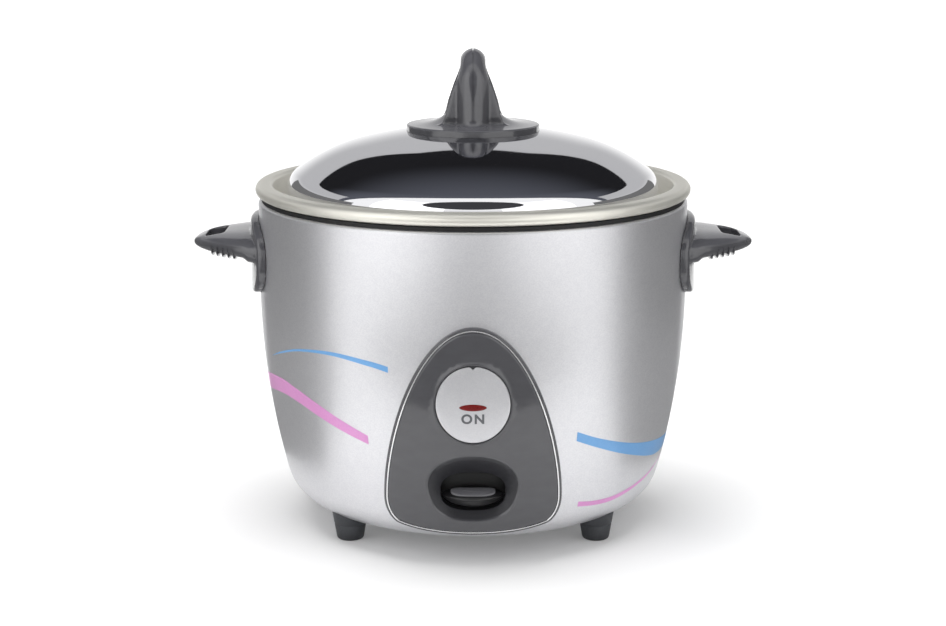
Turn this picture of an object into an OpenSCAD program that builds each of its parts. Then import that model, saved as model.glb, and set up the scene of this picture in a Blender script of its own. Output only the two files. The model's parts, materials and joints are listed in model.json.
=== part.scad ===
// Automatic rice cooker: a heated body with a cook lever, a lift-out pan and a lift-off lid.
// Millimetres. Z is up, the body's axis is the Z axis, and the front faces -Y.

/* [Shell] */
// Outer diameter of the shell at its top
body_d = 230; // [226:1:232]
// Height of the shell's top edge above the table
shell_top_z = 174.5; // [173:0.5:176]
// Height of the shell's flat bottom above the table
ground_gap = 11; // [9:0.5:12]
// From the shell's top edge down to where the straight wall starts to curve in
belly_drop = 45.5; // [40:0.5:54]
// Radius of the long curve of the side wall
belly_curve = 400; // [360:10:500]
// Radius of the round between side and bottom
foot_curve = 22; // [19:1:24]
// Sheet thickness of the shell
shell_wall = 1; // [0.8:0.1:1.2]
// Radius of the rolled lip at the top of the shell
lip_curve = 2; // [1.8:0.1:2.4]
// Width of the bottom's flange under the base plate
base_lap = 12; // [10:1:13]

/* [Liner] */
// From the shell's outer face to the liner's inner face beside the pan
liner_inset = 11.5; // [11:0.5:13]
// From the shell's outer face to the liner's mouth
mouth_inset = 5; // [4.6:0.1:5.5]
// Sheet thickness of the liner
liner_wall = 0.8; // [0.6:0.1:1]
// From the pan's seat down to the liner's floor
liner_drop = 6; // [4:0.5:7]

/* [Pan] */
// Clearance between the pan's wall and the liner
pan_gap = 4.5; // [3.5:0.5:6.5]
// Height of the underside of the pan, which is the top of the heating plate
seat_z = 68; // [66:0.5:70]
// Wall thickness of the pan
pan_wall = 1.5; // [1.2:0.1:2]
// Radius of the round between the pan's wall and bottom
pan_corner = 18; // [14:1:20]
// From the shell's top edge down to the ledge that the lid rests on
ledge_drop = 3; // [1.5:0.5:4.5]
// Clearance between the pan's step and the liner's mouth
step_gap = 3; // [2.5:0.5:4]
// Width of the rolled rim, outside the step
rim_width = 11; // [10:0.5:12.5]
// Height of the rolled rim above the ledge
rim_rise = 12; // [11:0.5:14]
// Radius of the roll of the rim
rim_curl = 3.25; // [2.75:0.25:3.5]

/* [Lid] */
// Clearance between the lid's skirt and the pan's step
skirt_gap = 6; // [4.5:0.5:7]
// Height of the top of the dome above the ledge
dome_rise = 41.1; // [36.6:0.5:44.6]
// Radius of the flat middle curve of the dome
dome_curve = 258; // [230:5:300]
// Radius of the outer curve of the dome
shoulder_curve = 91; // [85:1:105]
// From the skirt in to where the dome's outer curve starts
shoulder_inset = 37.5; // [33.5:1:45.5]
// From the skirt in to where the dome's edge round starts
brow_inset = 4.5; // [3.5:0.5:6.5]
// Sheet thickness of the lid
lid_wall = 0.8; // [0.6:0.1:1]
// How far the lid's bottom bead stands out from its skirt
lid_bead = 2.2; // [1.6:0.1:2.6]
// Radius of the knob's base disc
knob_r = 35.6; // [33:0.2:38]
// Height of the knob disc's edge
knob_edge = 3.4; // [2.6:0.2:4]
// Height of the knob above the dome
knob_h = 41.2; // [36:0.2:46]
// Width of the knob's grip at its top
grip_w = 12.6; // [10:0.2:15]
// Half the length of the grip, front to back, at its foot
grip_reach = 25; // [22:0.5:28]
// Thickness of the grip's front and rear legs
grip_leg = 9; // [7:0.5:11]

/* [Side handles] */
// How far a handle reaches out from the shell
handle_reach = 36; // [32:1:41]
// From the shell's top edge down to the middle of the grip
handle_drop = 24.5; // [22.5:0.5:27.5]
// Thickness of the grip where it meets its flange
handle_t = 14; // [12:0.5:16]
// Half the width of the grip at its root
handle_half = 50; // [44:1:54]
// Half the width of the flange
flange_half = 40; // [36:1:44]
// Half the height of the flange
flange_rise = 22.4; // [20:0.2:23]
// Thickness of the flange
flange_t = 4.5; // [3.5:0.25:5.5]
// Half the width of the pad behind the grip
pad_half = 54; // [50:1:56]
// Thickness of the pad
pad_t = 2.6; // [1.6:0.2:3.4]
// Length of the finger slot, front to back
slot_len = 25; // [20:1:28]
// Width of the finger slot
slot_w = 9.4; // [7:0.2:11]
// Number of gripping ribs below a handle
rib_count = 5; // [3:1:6]
// Distance from one rib to the next
rib_pitch = 3.3; // [2.6:0.1:3.6]
// Height of a rib
rib_h = 1.3; // [0.8:0.1:1.6]

/* [Front panel] */
// Height of the panel's top
panel_top_z = 128; // [124:0.5:131]
// Height of the panel's lowest point
panel_low_z = 16.6; // [15:0.2:19]
// Half the panel's greatest width
panel_half = 44.9; // [42:0.5:48]
// Height at which the panel is widest
panel_wide_z = 36.7; // [34:0.5:40]
// How far the panel stands out from the shell
panel_t = 3; // [2.6:0.1:3.6]
// Radius of the indicator badge
badge_r = 19; // [17:0.5:20]
// From the panel's top down to the middle of the badge
badge_drop = 39.1; // [37:0.1:42]
// Thickness of the badge
badge_t = 1.2; // [0.8:0.1:1.6]
// Half the width of the lens
lens_half = 6.8; // [5.5:0.1:8]
// Half the height of the lens
lens_rise = 1.6; // [1.2:0.1:2]

/* [Cook lever] */
// Half the width of the lever's slot
well_half = 16.5; // [16:0.5:18]
// Half the height of the lever's slot
well_rise = 10.1; // [9.8:0.1:11]
// Height of the middle of the slot
well_z = 40.4; // [39:0.2:41]
// Depth of the bowl behind the shell's front
well_depth = 14; // [13:0.5:15]
// Depth of the sleeve behind the bowl
sleeve_depth = 6; // [4:0.5:7]
// Wall thickness of the bowl and sleeve
well_wall = 1.6; // [1.2:0.1:2]
// Clearance between the finger bar's ends and the slot
bar_gap = 1.3; // [1.1:0.1:3.5]
// From the middle of the slot down to the finger bar's front ridge
bar_drop = 1.7; // [1:0.1:2.4]
// Room in the slot above and below the finger bar
bar_room = 10.2; // [9.8:0.1:12]
// From the shell's front back to the bar's front ridge
bar_inset = 5; // [4:0.5:7]
// From the bowl's inner end back to the lever's pivot
arm_reach = 56; // [53:0.5:58]
// From the middle of the slot down to the lever's pivot
pivot_drop = 10.4; // [9.4:0.1:11.4]
// Radius of the lever's pivot pin
pin_r = 2; // [1.5:0.1:2.5]
// Sheet thickness of the lever
arm_t = 2; // [1.5:0.1:2.4]
// From the pivot down to the middle of the lever's fork
fork_drop = 5; // [4.8:0.1:6]

/* [Heater and sensor] */
// From the pan's wall in to the heating plate's edge
plate_inset = 19; // [18:0.5:22]
// Thickness of the heating plate
plate_t = 8; // [7:0.5:9]
// From the heating plate's edge in to the heating element's ring
element_inset = 28; // [26:0.5:30]
// Radius of the element's tube
element_tube = 4; // [3:0.25:4.5]
// Radius of the sensor cup
sensor_r = 15.5; // [14.5:0.25:16.5]
// Height of the sensor cup
sensor_h = 25; // [24:0.5:25.5]
// Travel of the sensor cup
sensor_travel = 1.5; // [1:0.1:2]
// Thickness of the sensor's ferrite disc
ferrite_t = 5; // [4:0.5:5.5]
// Radius of the magnet
magnet_r = 11; // [9:0.5:11.4]
// Thickness of the magnet
magnet_t = 5; // [4:0.5:6]
// Radius of the magnet's rod
rod_r = 2.5; // [2:0.1:2.8]

/* [Base] */
// Clearance between the base plate and the round of the shell's bottom
base_gap = 2.6; // [1.6:0.2:4.6]
// Sheet thickness of the base plate and brackets
base_t = 1.2; // [1:0.1:1.5]
// Number of vent slots in the base plate
vent_count = 12; // [8:1:16]
// From the base plate's edge out to the middle of a foot
foot_out = 6.5; // [6.5:0.5:8]
// Angle of the feet from the X axis
foot_angle = 39.7; // [36:0.1:44]
// Diameter of a foot where it meets the table
foot_d = 13; // [11:0.5:15]
// Diameter of a foot at its top
foot_top_d = 18.6; // [16:0.2:20]

/* [Power inlet] */
// Width of the inlet's flange
inlet_w = 40; // [38:1:44]
// Height of the inlet's flange
inlet_h = 25; // [24:1:27]
// Height of the middle of the inlet
inlet_z = 41; // [39:0.5:43]
// Depth of the inlet behind its flange's face
inlet_depth = 28; // [24:1:30]

/* [Hidden] */

$fn = 64;

// Clearances
seam = 0.05;       // between pieces that are fastened together
run = 0.05;        // radial, between a pin and its bore
pocket_gap = 0.2;  // round a piece that sits in a pocket
slide_gap = 0.3;   // radial, round the sensor cup, which is loose in its hole
free_gap = 0.4;    // round a piece that passes through a hole in sheet metal

// Radii and heights that follow from the shell's
body_r = body_d / 2;
liner_r = body_r - liner_inset;
liner_mouth_r = body_r - mouth_inset;
pan_r = liner_r - pan_gap;
step_r = liner_mouth_r - step_gap - pan_wall;
rim_r = step_r + rim_width;
skirt_r = step_r - skirt_gap;
shoulder_r = skirt_r - shoulder_inset;
brow_r = skirt_r - brow_inset;
plate_r = pan_r - plate_inset;
element_r = plate_r - element_inset;
handle_tip = body_r + handle_reach;
belly_z = shell_top_z - belly_drop;
ledge_z = shell_top_z - ledge_drop;
rim_top_z = ledge_z + rim_rise;
dome_top_z = ledge_z + dome_rise;
handle_z = shell_top_z - handle_drop;
liner_floor_z = seat_z - liner_drop;
badge_z = panel_top_z - badge_drop;

// Where the shell's side and bottom curves meet
belly_x = body_r - belly_curve;
round_z = ground_gap + foot_curve;
round_x = belly_x + sqrt(pow(belly_curve - foot_curve, 2) - pow(belly_z - round_z, 2));
blend_angle = atan2(belly_z - round_z, round_x - belly_x);
blend_z = belly_z - belly_curve * sin(blend_angle);

// Base and fasteners
base_r = round_x - base_gap;
service_r = base_r - base_lap;
foot_x = (base_r + foot_out) * cos(foot_angle);
foot_y = (base_r + foot_out) * sin(foot_angle);
base_z = ground_gap + shell_wall;
floor_z = base_z + base_t;
screw_r = 1.9;
head_r = 3.4;
head_h = 2.4;
base_screw_r = (service_r + base_r) / 2;
leg_ring = plate_r - 20;
leg_r = 4;
leg_angles = [90, 210, 330];

// Heater and sensor stack, from the pan's seat downwards
plate_z = seat_z - plate_t;
cup_wall = 1;
cup_top_t = 1.2;
ferrite_z = seat_z - cup_top_t - ferrite_t;
magnet_gap = sensor_travel + 0.3;
magnet_z = ferrite_z - magnet_gap - magnet_t;
web_z = seat_z - sensor_h - sensor_travel - 2.3;
web_half = sensor_r + 6;
web_depth = 8;
strap_foot = 12;

// Lever and magnet rod
well_y = body_r - well_depth;
bar_front = body_r - bar_inset;
bar_half = well_half - bar_gap;
bar_z = well_z - bar_drop;
bar_h = 2 * well_rise - bar_room;
pivot_y = well_y - arm_reach;
pivot_z = well_z - pivot_drop;
fork_z = pivot_z - fork_drop;
fork_half = 8;
collar_r = 5;
collar_t = 1.5;
collar_gap = 1.3;
collar_low_z = fork_z - arm_t / 2 - collar_gap - collar_t;
collar_high_z = fork_z + arm_t / 2 + collar_gap;
hub_r = pin_r + 1.7;
cheek_x = 8.4;
riser_y = well_y - 9;
tongue_half = 5;
tongue_y = well_y + 3;
arm_half = 5;

// Microswitch
switch_y = pivot_y + 29;
switch_half = 10;
switch_w = 6.4;
switch_z = floor_z + 1.8;
switch_h = 9;
plunger_y = pivot_y + 25;
plunger_r = 1.2;
terminal_len = 6;

// Panel
panel_screw_x = panel_half - 11.9;
panel_screw_z = panel_wide_z - 9.7;
panel_screws_at = [[0, panel_top_z - 11], [-panel_screw_x, panel_screw_z], [panel_screw_x, panel_screw_z]];
boss_r = 3;
panel_screw_len = 3.6;
window_half = badge_r - 6;
window_rise = 6;
bowl_depth = 13;
bowl_side = 1.33;
bowl_up = 1.02;

// Handles
handle_screws_at = [12 - flange_half, flange_half - 12];
slot_x = handle_tip - 12.3;
rib_x = body_r + 7.5;

// Heater wiring
end_x = 20;
end_y = sqrt(element_r * element_r - end_x * end_x);
end_angle = atan2(end_y, end_x);
bead_z = plate_z - 10;
pin_low_z = bead_z - 6;
fuse_x = 20 - element_r;
fuse_y = 19;
fuse_len = 14;
fuse_r = 2;
fuse_z = plate_z - 2.7;
wire_r = 1.1;
wire_x = leg_ring * cos(30) - 14;
pole_x = inlet_w / 2 - 14.5;

// Radius of the shell's outer face at height z.
function shell_r(z) = z >= belly_z ? body_r
    : z >= blend_z ? belly_x + sqrt(pow(belly_curve, 2) - pow(belly_z - z, 2))
    : round_x + sqrt(max(0, pow(foot_curve, 2) - pow(round_z - z, 2)));

// Distance in front of the axis of the shell's face at a place x across and z up.
function shell_front(x, z) = sqrt(pow(shell_r(z), 2) - x * x);

// Points along an arc, from angle a to angle b.
function arc(c, r, a, b, n) = [for (i = [0:n]) let (t = a + (b - a) * i / n) c + r * [cos(t), sin(t)]];

// Points along a cubic curve, without its first point.
function curve(p, q, r, s, n) = [for (i = [1:n]) let (t = i / n, u = 1 - t)
    u * u * u * p + 3 * u * u * t * q + 3 * u * t * t * r + t * t * t * s];

function reversed(p) = [for (i = [len(p) - 1:-1:0]) p[i]];
function mirrored(p) = concat(p, [for (q = reversed(p)) if (abs(q[0]) > 0.001) [-q[0], q[1]]]);

// A rounded outline: n = 2 is an ellipse, and a larger n is squarer.
function oval(a, b, n = 2, steps = 48) = [for (i = [0:steps - 1]) let (t = 360 * i / steps)
    [a * sign(cos(t)) * pow(abs(cos(t)), 2 / n), b * sign(sin(t)) * pow(abs(sin(t)), 2 / n)]];

// Side and bottom of the shell, moved out by d, from the lip down.
function side_curve(d) = concat([[body_r + d, shell_top_z - lip_curve]],
    arc([belly_x, belly_z], belly_curve + d, 0, -blend_angle, 10),
    arc([round_x, round_z], foot_curve + d, -blend_angle, -90, 9));

// Curves of the lid's dome, moved in by d.
brow_start = asin(shoulder_r / dome_curve);
brow_end = asin(sin(brow_start) + (brow_r - shoulder_r) / shoulder_curve);
edge_curve = (skirt_r - brow_r) / (1 - sin(brow_end));
dome_c = [0, dome_top_z - dome_curve];
shoulder_c = dome_c + (dome_curve - shoulder_curve) * [sin(brow_start), cos(brow_start)];
edge_c = shoulder_c + (shoulder_curve - edge_curve) * [sin(brow_end), cos(brow_end)];
function dome_line(d, r0) = concat(
    arc(dome_c, dome_curve - d, 90 - asin(r0 / dome_curve), 90 - brow_start, 8),
    arc(shoulder_c, shoulder_curve - d, 90 - brow_start, 90 - brow_end, 8),
    arc(edge_c, edge_curve - d, 90 - brow_end, 0, 7));
function dome_z(r) = dome_c[1] + sqrt(dome_curve * dome_curve - r * r);

// Everything inside the shell's face moved out by d.
module body_space(d) {
    rotate_extrude() polygon(concat([[0, shell_top_z - lip_curve]], side_curve(d), [[0, ground_gap - d]]));
}

// Draws its children, which lie in X and Z, from y = -y0 to y = -y1 in front of the axis.
module forwards(y0, y1) {
    translate([0, -y0, 0]) rotate([90, 0, 0]) linear_extrude(y1 - y0) children();
}

module rod_along_x(x0, x1, r) { translate([x0, 0, 0]) rotate([0, 90, 0]) cylinder(h = x1 - x0, r = r); }

// A screw that points up, with its head's top face at the origin.
module screw_up(length, r = screw_r, head = head_r, thick = head_h) {
    translate([0, 0, -thick]) difference() {
        cylinder(h = thick, r = head);
        translate([-head * 0.6, -0.4, -1]) cube([head * 1.2, 0.8, 2]);
        translate([-0.4, -head * 0.6, -1]) cube([0.8, head * 1.2, 2]);
    }
    cylinder(h = length, r = r);
}

// Faces of a tube of rings, each of so many corners, with both ends closed.
function tube_faces(rings, sides) = concat(
    [for (i = [0:rings - 2]) for (k = [0:sides - 1]) let (j = (k + 1) % sides)
        [i * sides + k, (i + 1) * sides + k, (i + 1) * sides + j, i * sides + j]],
    [[for (k = [0:sides - 1]) k], [for (k = [sides - 1:-1:0]) (rings - 1) * sides + k]]);

function unit(v) = v / norm(v);
function heading(p, i) = i == 0 ? unit(p[1] - p[0])
    : i == len(p) - 1 ? unit(p[i] - p[i - 1])
    : unit(unit(p[i + 1] - p[i]) + unit(p[i] - p[i - 1]));
function across(p, i) = let (last = i == 0 ? [0.3, 0.9, 0.2] : across(p, i - 1), t = heading(p, i))
    unit(last - (last * t) * t);

// An insulated wire through its points.
module wire(points) {
    sides = 10;
    rings = [for (i = [0:len(points) - 1]) let (n = across(points, i), b = cross(heading(points, i), n))
        for (k = [0:sides - 1]) points[i] + wire_r * (cos(360 * k / sides) * n - sin(360 * k / sides) * b)];
    polyhedron(rings, tube_faces(len(points), sides), convexity = 10);
}

// A round-wire coil between two heights.
module coil(r, gauge, z0, z1, turns) {
    steps = turns * 20;
    sides = 6;
    low = z0 + gauge / 2;
    high = z1 - gauge / 2;
    rings = [for (i = [0:steps]) for (k = [0:sides - 1]) let (a = 360 * i / 20, b = 360 * k / sides)
        [(r + gauge / 2 * cos(b)) * cos(a), (r + gauge / 2 * cos(b)) * sin(a),
            low + (high - low) * i / steps + gauge / 2 * sin(b)]];
    polyhedron(rings, tube_faces(steps + 1, sides), convexity = 10);
}

// ---- Shell, liner and base ----

module outer_shell() {
    lip = [body_r - lip_curve, shell_top_z - lip_curve];
    color("silver") difference() {
        rotate_extrude() polygon(concat(
            arc(lip, lip_curve, 180, 0, 8),
            side_curve(0),
            [[service_r, ground_gap], [service_r, ground_gap + shell_wall]],
            reversed(side_curve(-shell_wall)),
            arc(lip, lip_curve - shell_wall, 0, 180, 6)));
        bowl(well_wall + free_gap);
        lamp_window();
        for (p = panel_screws_at) translate([p[0], -shell_front(p[0], p[1]), p[1]])
            rotate([90, 0, 0]) translate([0, 0, -12]) cylinder(h = 24, r = boss_r + free_gap);
        for (s = [-1, 1]) for (y = handle_screws_at) translate([s * body_r, y, handle_z])
            rod_along_x(-12, 12, screw_r + free_gap);
        at_feet() translate([0, 0, ground_gap - 2]) cylinder(h = 12, r = screw_r + free_gap);
        at_base_screws() translate([0, 0, ground_gap - 1]) cylinder(h = 4, r = screw_r + run);
        inlet_body(free_gap);
        at_inlet_screws() cylinder(h = 20, r = screw_r + run, center = true);
    }
}

module inner_liner() {
    corner = 14;
    top = shell_top_z - lip_curve;
    function wall_line(d) = concat(
        [[liner_mouth_r + d, ledge_z - 4.5], [liner_r + d, ledge_z - 11.5]],
        arc([liner_r - corner, liner_floor_z + corner], corner + d, 0, -90, 8));
    color("dimgray") rotate_extrude() polygon(concat(
        [[liner_mouth_r, top - seam], [body_r - shell_wall - seam, top - seam],
            [body_r - shell_wall - seam, top - seam - liner_wall],
            [liner_mouth_r + liner_wall, top - seam - liner_wall]],
        wall_line(liner_wall),
        [[plate_r + 3.5, liner_floor_z - liner_wall], [plate_r + 3.5, liner_floor_z]],
        reversed(wall_line(0))));
}

module at_base_screws() {
    for (a = [45:90:315]) rotate(a) translate([base_screw_r, 0, 0]) children();
}

module at_legs() {
    for (a = leg_angles) rotate(a) translate([leg_ring, 0, 0]) children();
}

module at_feet() {
    for (x = [-foot_x, foot_x]) for (y = [-foot_y, foot_y]) translate([x, y, 0]) children();
}

bracket_screws_at = [[-12, -pivot_y - 15], [12, -pivot_y - 15]];

module base_plate() {
    slot_in = 26;
    slot_out = 46;
    color("darkgray") difference() {
        translate([0, 0, base_z]) cylinder(h = base_t, r = base_r);
        for (i = [0:vent_count - 1]) rotate(360 * (i + 0.5) / vent_count) {
            for (x = [slot_in, slot_out]) translate([x, 0, base_z - 1]) cylinder(h = 4, r = 2);
            translate([slot_in, -2, base_z - 1]) cube([slot_out - slot_in, 4, 4]);
        }
        at_base_screws() translate([0, 0, base_z - 1]) cylinder(h = 4, r = screw_r + run);
        at_legs() translate([0, 0, base_z - 1]) cylinder(h = 4, r = screw_r + run);
        for (p = bracket_screws_at) translate([p[0], p[1], base_z - 1]) cylinder(h = 4, r = screw_r + run);
    }
}

module base_screws() {
    color("gainsboro") at_base_screws() translate([0, 0, ground_gap]) screw_up(6);
}

foot_head_z = 5;

module feet() {
    top = round_z - foot_curve * 0.72;
    color("dimgray") difference() {
        at_feet() cylinder(h = top, r1 = foot_d / 2, r2 = foot_top_d / 2);
        at_feet() translate([0, 0, -1]) cylinder(h = foot_head_z + 1, r = head_r + free_gap);
        at_feet() cylinder(h = top + 1, r = screw_r + pocket_gap);
        body_space(seam);
    }
}

module foot_screws() {
    color("gainsboro") at_feet() translate([0, 0, foot_head_z]) screw_up(ground_gap + 9 - foot_head_z);
}

module foot_nuts() {
    nut_z = ground_gap + shell_wall + 1.9;
    color("gainsboro") at_feet() translate([0, 0, nut_z]) difference() {
        cylinder(h = 3, r = 4, $fn = 6);
        translate([0, 0, -1]) cylinder(h = 5, r = screw_r + run);
    }
}

// ---- Side handles ----

// A round sheet round the shell, thick enough for a flange, where its outline in Y and Z allows.
module wrap(thick, outline) {
    intersection() {
        rotate_extrude() polygon([[body_r + seam, handle_z - 30], [body_r + thick, handle_z - 30],
            [body_r + thick, handle_z + 22], [body_r + seam, handle_z + 22]]);
        rotate([90, 0, 90]) linear_extrude(handle_tip) polygon(outline);
    }
}

module handle() {
    root = body_r - 2;
    flange_x = body_r + flange_t;
    low = handle_z - handle_t / 2;
    high = handle_z + handle_t / 2;
    flange_z = handle_z - 3.8;
    rise = 4.6;
    ribs = [for (i = [0:rib_count - 1]) let (x = rib_x + i * rib_pitch, z = low - 0.6 + i * rib_pitch * 0.1)
        each [[x, z + rib_h], [x + rib_pitch * 0.35, z], [x + rib_pitch * 0.98, z + rib_h]]];
    rib_end = ribs[len(ribs) - 1];
    side = concat([[root, high], [flange_x, high]],
        curve([flange_x, high], [flange_x + 14, high - 1], [handle_tip, high - 3],
            [handle_tip, handle_z - 0.2], 10),
        curve([handle_tip, handle_z - 0.2], [handle_tip, low + rise], [rib_end[0] + 6, rib_end[1] + 0.9],
            rib_end, 8),
        reversed(ribs),
        [[flange_x + 1, low - 1.8], [flange_x, low - 5], [root, low - 5]]);
    plan = concat([[root, -handle_half], [root, handle_half]],
        curve([root, handle_half], [root + 14, 30], [handle_tip, 16], [handle_tip, 0], 14),
        curve([handle_tip, 0], [handle_tip, -16], [root + 14, -30], [root, -handle_half], 14));
    color("dimgray") difference() {
        union() {
            wrap(flange_t, [for (p = oval(flange_half, flange_rise, 2.8)) p + [0, flange_z]]);
            wrap(pad_t, [for (p = oval(pad_half, handle_t / 2 + 3)) p + [0, handle_z]]);
            intersection() {
                translate([0, handle_half, 0]) rotate([90, 0, 0]) linear_extrude(2 * handle_half) polygon(side);
                translate([0, 0, handle_z - 30]) linear_extrude(60) polygon(plan);
            }
        }
        finger_slot();
        translate([0, 0, handle_z - 40]) cylinder(h = 80, r = body_r + seam, $fn = 128);
        for (y = handle_screws_at) translate([0, y, handle_z])
            rod_along_x(root - 4, handle_screw_end, screw_r + run);
    }
}

handle_screw_end = body_r + 9;

module finger_slot() {
    r = 3;
    x0 = slot_x - slot_w / 2 + r;
    x1 = slot_x + slot_w / 2 - r;
    y = slot_len / 2 - r;
    translate([0, 0, handle_z - 20]) {
        for (x = [x0, x1]) for (s = [-1, 1]) translate([x, s * y, 0]) cylinder(h = 40, r = r);
        translate([x0 - r, -y, 0]) cube([slot_w, 2 * y, 40]);
        translate([x0, -y - r, 0]) cube([x1 - x0, slot_len, 40]);
    }
}

module right_handle() { handle(); }
module left_handle() { mirror([1, 0, 0]) handle(); }

module handle_screws() {
    inside = sqrt(pow(body_r - shell_wall, 2) - pow(handle_screws_at[1] + head_r, 2)) - 0.1;
    color("gainsboro") for (s = [-1, 1]) for (y = handle_screws_at)
        translate([s * inside, y, handle_z]) rotate([0, s * 90, 0]) screw_up(handle_screw_end - 0.5 - inside);
}

// ---- Front panel and indicator ----

// The bowl and sleeve for the lever, widened by d, with the sleeve's inner end further in by extra.
module bowl(d, extra = 0) {
    a = well_half + d;
    b = well_rise + d;
    slice = 0.01;
    translate([0, 0, well_z]) {
        hull() {
            forwards(well_y, well_y + slice) polygon(oval(a, b, 2.6));
            forwards(well_y + bowl_depth, well_y + bowl_depth + slice)
                polygon(oval(a + bowl_depth * bowl_side, b + bowl_depth * bowl_up, 2.2));
        }
        forwards(well_y - sleeve_depth - extra, well_y + slice) polygon(oval(a, b, 2.6));
    }
}

module panel_outline() {
    top = [0, panel_top_z];
    wide = [panel_half, panel_wide_z];
    low = [0, panel_low_z];
    corner = [panel_half - 8, panel_low_z + 8];
    polygon(mirrored(concat([top],
        curve(top, [panel_half * 0.63, panel_top_z], wide + [0, 33], wide, 14),
        curve(wide, wide - [0, 6], corner + [4.5, 3], corner, 5),
        curve(corner, corner - [12, 5], [14, panel_low_z], low, 6))));
}

module lamp_window() {
    translate([0, 0, badge_z]) forwards(body_r - 14, body_r + 2)
        polygon(oval(window_half, window_rise, 4));
}

module front_panel() {
    color("dimgray") difference() {
        union() {
            difference() {
                intersection() {
                    body_space(panel_t);
                    forwards(body_r * 0.55, body_r + 10) panel_outline();
                }
                body_space(seam);
            }
            intersection() {
                bowl(well_wall);
                body_space(panel_t - 0.2);
            }
            for (p = panel_screws_at) intersection() {
                translate([p[0], -boss_end(p), p[1]]) rotate([90, 0, 0]) cylinder(h = 12, r = boss_r);
                body_space(panel_t - 0.5);
            }
        }
        bowl(0, 1);
        difference() {
            translate([0, 0, badge_z]) forwards(body_r - 12, body_r + 10) circle(r = badge_r + pocket_gap);
            body_space(panel_t - badge_t);
        }
        translate([0, 0, badge_z]) forwards(body_r - 12, body_r + 10)
            polygon(oval(lens_half + seam, lens_rise + seam, 2.4));
        for (p = panel_screws_at) translate([p[0], -boss_end(p) + 1, p[1]])
            rotate([90, 0, 0]) cylinder(h = panel_screw_len + 1.3, r = screw_r * 0.6 + run);
    }
}

// Distance in front of the axis of the inner end of a screw boss.
function boss_end(p) = shell_front(abs(p[0]) + boss_r, p[1] - boss_r) - shell_wall - 1;

module panel_screws() {
    color("gainsboro") for (p = panel_screws_at) translate([p[0], -boss_end(p), p[1]])
        rotate([90, 0, 0]) screw_up(panel_screw_len, screw_r * 0.6);
}

module indicator_badge() {
    notch = 1.2;
    color("lightgray") difference() {
        intersection() {
            translate([0, 0, badge_z]) forwards(body_r - 12, body_r + 10) circle(r = badge_r);
            body_space(panel_t + 0.2);
        }
        body_space(panel_t - badge_t + seam);
        translate([0, 0, badge_z]) forwards(body_r - 12, body_r + 10)
            polygon(oval(lens_half + seam, lens_rise + seam, 2.4));
        translate([0, 0, badge_z + badge_r]) forwards(body_r - 12, body_r + 10)
            polygon([[-notch, 0.5], [notch, 0.5], [0, -notch]]);
    }
}

lens_flange = 2;

module indicator_lens() {
    color("firebrick") difference() {
        for (part = [[0, panel_t + 0.4], [lens_flange, 0]]) intersection() {
            translate([0, 0, badge_z]) forwards(body_r - 8, body_r + 10)
                polygon(oval(lens_half + part[0], lens_rise + part[0], 2.4));
            body_space(part[1]);
        }
        body_space(-shell_wall);
    }
}

lamp_r = 2.3;
lamp_half = 8;
lamp_y = shell_r(badge_z) - 4.9;

module indicator_lamp() {
    color("orange") translate([0, -lamp_y, badge_z]) {
        rod_along_x(-lamp_half, lamp_half - 3, lamp_r);
        translate([lamp_half - 3, 0, 0]) sphere(r = lamp_r);
    }
}

module lamp_holder() {
    front = shell_front(lens_half + lens_flange, badge_z) - shell_wall - 0.3;
    half = 11;
    rise = 4;
    color("gray") difference() {
        translate([-half, -front, badge_z - rise]) cube([2 * half, front - lamp_y + 3.2, 2 * rise]);
        translate([0, -lamp_y, badge_z]) rod_along_x(-lamp_half - 0.1, lamp_half + 0.1, lamp_r + run);
        translate([-lamp_half + 2, -front - 1, badge_z - 1.4])
            cube([2 * lamp_half - 5, front - lamp_y + 1, 2.8]);
        translate([-half - 1, -lamp_y, badge_z]) rod_along_x(0, half, wire_r + 0.1);
    }
}

// ---- Cook lever and switch ----

bar_back = well_y - 1.5;
bar_top_z = bar_z + bar_h * 0.45;
bar_low_z = bar_z - bar_h * 0.55;

module lever_knob() {
    nose_r = (bar_half * bar_half + pow(bar_front - bar_back, 2)) / (2 * (bar_front - bar_back));
    profile = [[bar_back, bar_top_z], [bar_back + 1, bar_top_z], [bar_front - 0.5, bar_z + 0.5],
        [bar_front, bar_z], [bar_front - 0.6, bar_z - 0.8], [bar_back + 4.5, bar_low_z], [bar_back, bar_low_z + 0.8]];
    color("black") difference() {
        intersection() {
            rotate([90, 0, 90]) translate([0, 0, -bar_half]) linear_extrude(2 * bar_half)
                polygon([for (p = profile) [-p[0], p[1]]]);
            translate([0, nose_r - bar_front, bar_low_z - 1]) cylinder(h = bar_h + 2, r = nose_r);
            translate([0, 0, bar_z - 0.3]) forwards(bar_back - 2, bar_front + 2)
                polygon(oval(bar_half, bar_h * 0.62, 1.7));
        }
        translate([-tongue_half - seam, -tongue_y - seam, bar_z - arm_t / 2 - seam])
            cube([2 * (tongue_half + seam), 20, arm_t + 2 * seam]);
    }
}

module lever_cap() {
    run_y = bar_front - 0.5 - bar_back - 1;
    drop = bar_top_z - bar_z - 0.5;
    color("gray") translate([0, -(bar_front - 0.5 + bar_back + 1) / 2, (bar_top_z + bar_z + 0.5) / 2])
        rotate([atan2(drop, run_y), 0, 0]) linear_extrude(0.7) polygon(oval(11.2, run_y * 0.4, 2.4, 32));
}

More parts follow.
